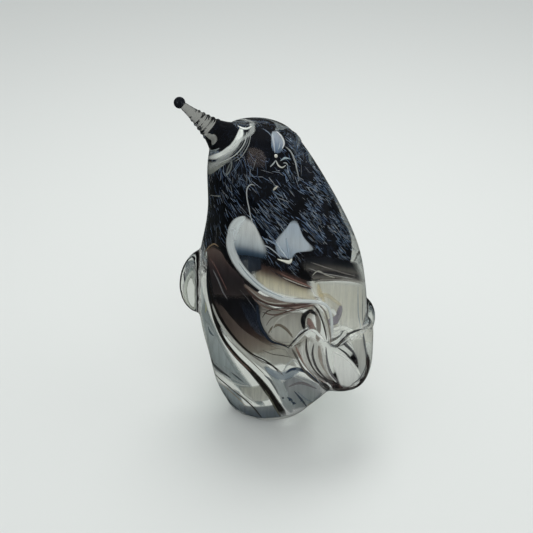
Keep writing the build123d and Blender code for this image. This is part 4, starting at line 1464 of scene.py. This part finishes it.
class GLASS_OT_threads(bpy.types.Operator):
    """Ribbons, veils, threads, milky glass and dots laid inside the casing"""
    bl_idname = "glass.threads"
    bl_label = "Laid glass"

    def execute(self, context):
        kinds = {name: laid_glass(name, *look) for name, look in LAID_KINDS.items()}
        strands = self.thick_strands(context.scene.glass_colours)
        for name, node, slot, kind in LAID_PIECES:
            laid(name, node, slot, kinds[kind], strands.get(node, ()))
        self.add_dots(kinds["opal_cane_and_painted_highlight"])
        return {"FINISHED"}

    def thick_strands(self, colours):
        """Thick strands by node: the smoke's middle, the milky glass of the far side and the collar."""
        smoke = []
        for height, radius, far in curve_through(SMOKE_ROWS, SECTION_STEPS):
            centre = middle(height) + outward(SMOKE_HEADING) * far
            smoke.append((centre * MM, outward(SMOKE_HEADING), 2 * radius))
        return {
            "smoky_gather": [(colours.core, 1.0, smoke, SMOKE_THICKNESS)],
            "milky_swirl": [(colours.milky, SWIRL_COVER, inner_places(MILKY_ROUTE), SWIRL_THICKNESS)],
            "cloud_swirl": [(colours.cloud, SWIRL_COVER, inner_places(CLOUD_ROUTE), SWIRL_THICKNESS)],
            "collar": [(colours.collar, COLLAR_COVER, self.ring_places(), COLLAR_THICKNESS)],
        }

    def ring_places(self):
        """Places round the beak, just under the head's skin."""
        root, direction = beak_frame()
        side, rise = across_beak()
        places = []
        for step in range(COLLAR_STEPS + 1):
            turn = 2 * math.pi * step / COLLAR_STEPS
            radial = side * math.cos(turn) + rise * math.sin(turn)
            start = root + radial * COLLAR_REACH * MM + direction * FAR * MM
            spot, normal, _, _ = SKIN["tree"].ray_cast(start, -direction)
            places.append((spot - normal * COLLAR_DEPTH * MM, normal, COLLAR_WIDTH))
        return places

    def add_dots(self, material):
        """The white dot of the star and the four navy chips low in the back."""
        for name, node, slot, colour, spots in DOTS:
            bm = bmesh.new()
            held = layers(bm)
            for x, y, depth, radius in spots:
                point = seen(x, y, depth)[0]
                verts = bmesh.ops.create_icosphere(bm, subdivisions=3, radius=radius * MM)["verts"]
                bmesh.ops.translate(bm, verts=verts, vec=point)
                faces = {face for vert in verts for face in vert.link_faces}
                dress(faces, held, {vert: (immersed(colour), 1.0, 0.0, 0.0) for vert in verts})
            finished(name, bm, [material], slot, node)


class GLASS_OT_stage(bpy.types.Operator):
    """Floor, light and camera"""
    bl_idname = "glass.stage"
    bl_label = "Stage"

    def execute(self, context):
        scene = context.scene
        sizes = scene.glass_stage
        bm = bmesh.new()
        bmesh.ops.create_grid(bm, x_segments=1, y_segments=1, size=sizes.floor_size)
        mesh = bpy.data.meshes.new("floor")
        bm.to_mesh(mesh)
        bm.free()
        material, tree = blank("matt_paper_sweep")
        path = add(tree, "ShaderNodeLightPath")
        pale = linear(sizes.floor)
        matt = add(tree, "ShaderNodeBsdfDiffuse", {"Color": pale})
        glow = add(tree, "ShaderNodeEmission", {"Color": pale, "Strength": sizes.floor_through})
        dim = add(tree, "ShaderNodeBsdfDiffuse", {"Color": linear(sizes.floor_mirror)})
        behind_glass = product(tree, self.straight(tree, path), sizes.floor_share)
        surface = blend(tree, behind_glass, matt, glow)
        surface = blend(tree, self.mirrored(tree, path), surface, dim)
        add(tree, "ShaderNodeOutputMaterial", {"Surface": surface})
        mesh.materials.append(material)
        floor = bpy.data.objects.new("floor", mesh)
        scene.collection.objects.link(floor)
        self.light(scene, sizes)
        self.place_camera(scene)
        scene.view_settings.view_transform = "Standard"
        return {"FINISHED"}

    def straight(self, tree, path):
        """1 for a view through the glass that meets nothing dull, and 0 for light on surfaces."""
        depth = path.outputs["Diffuse Depth"]
        first = add(tree, "ShaderNodeMath", {0: depth, 1: 0.5}, operation="LESS_THAN")
        return product(tree, first, path.outputs["Is Transmission Ray"])

    def mirrored(self, tree, path):
        """1 for a reflection on the outside of the glass. Views through it are flagged glossy too."""
        kinds = {0: path.outputs["Is Glossy Ray"], 1: path.outputs["Is Transmission Ray"]}
        return add(tree, "ShaderNodeMath", kinds, operation="SUBTRACT", use_clamp=True)

    def light(self, scene, sizes):
        """A pale room, dimmer in reflections and through the glass, and three soft lamps."""
        world = bpy.data.worlds.new("room")
        world.use_nodes = True
        tree = world.node_tree
        tree.nodes.clear()
        path = add(tree, "ShaderNodeLightPath")
        pale = linear(sizes.room_colour)
        shader = add(tree, "ShaderNodeBackground", {"Color": pale, "Strength": sizes.room})
        kinds = ((self.mirrored(tree, path), sizes.mirror), (self.straight(tree, path), sizes.through))
        for kind, strength in kinds:
            other = add(tree, "ShaderNodeBackground", {"Color": pale, "Strength": strength})
            shader = blend(tree, kind, shader, other)
        add(tree, "ShaderNodeOutputWorld", {"Surface": shader})
        scene.world = world
        for name, heading, rise, far, size, power in LAMPS:
            lamp = bpy.data.lights.new(name, "AREA")
            lamp.shape = "DISK"
            lamp.energy = power * sizes.lamp
            lamp.size = size
            holder = bpy.data.objects.new(name, lamp)
            holder.visible_glossy = False
            lift = math.radians(rise)
            way = outward(heading) * math.cos(lift) + Vector((0, 0, math.sin(lift)))
            holder.location = way * far + Vector((0, 0, LAMP_AIM))
            holder.rotation_euler = way.to_track_quat("Z", "Y").to_euler()
            scene.collection.objects.link(holder)

    def place_camera(self, scene):
        """The camera, where the photograph was taken from."""
        camera = bpy.data.cameras.new("camera")
        camera.sensor_width = SENSOR_WIDTH
        camera.lens = PIXELS_PER_MM * VIEW_DISTANCE * SENSOR_WIDTH / PHOTO_WIDTH
        camera.clip_start = CAMERA_NEAR
        holder = bpy.data.objects.new("camera", camera)
        holder.location = camera_place()
        holder.rotation_mode = "QUATERNION"
        holder.rotation_quaternion = camera_axes()[2].to_track_quat("Z", "Y")
        scene.collection.objects.link(holder)
        scene.camera = holder


OPERATORS = [GLASS_OT_stage, GLASS_OT_skin, GLASS_OT_core, GLASS_OT_frit, GLASS_OT_threads]


class GLASS_PT_panel(bpy.types.Panel):
    """Lists the makers of each piece"""
    bl_idname = "GLASS_PT_panel"
    bl_label = "Glass penguin"
    bl_space_type = "VIEW_3D"
    bl_region_type = "UI"
    bl_category = "Glass"

    def draw(self, context):
        for operator in OPERATORS:
            self.layout.operator(operator.bl_idname)


GROUPS = {
    "glass_skin": SkinSettings,
    "glass_frit": FritSettings,
    "glass_laid": LaidSettings,
    "glass_colours": GlassColours,
    "glass_stage": StageSettings,
}


def register():
    """Adds the settings, the operators and the panel."""
    for name, group in GROUPS.items():
        bpy.utils.register_class(group)
        setattr(bpy.types.Scene, name, PointerProperty(type=group))
    for operator in OPERATORS:
        bpy.utils.register_class(operator)
    bpy.utils.register_class(GLASS_PT_panel)


def unregister():
    """Takes away what register adds."""
    bpy.utils.unregister_class(GLASS_PT_panel)
    for operator in reversed(OPERATORS):
        bpy.utils.unregister_class(operator)
    for name, group in GROUPS.items():
        delattr(bpy.types.Scene, name)
        bpy.utils.unregister_class(group)


def main():
    """Builds the scene."""
    register()
    bpy.ops.glass.stage()
    bpy.ops.glass.skin()
    bpy.ops.glass.core()
    bpy.ops.glass.frit()
    bpy.ops.glass.threads()


if __name__ == "__main__":
    main()
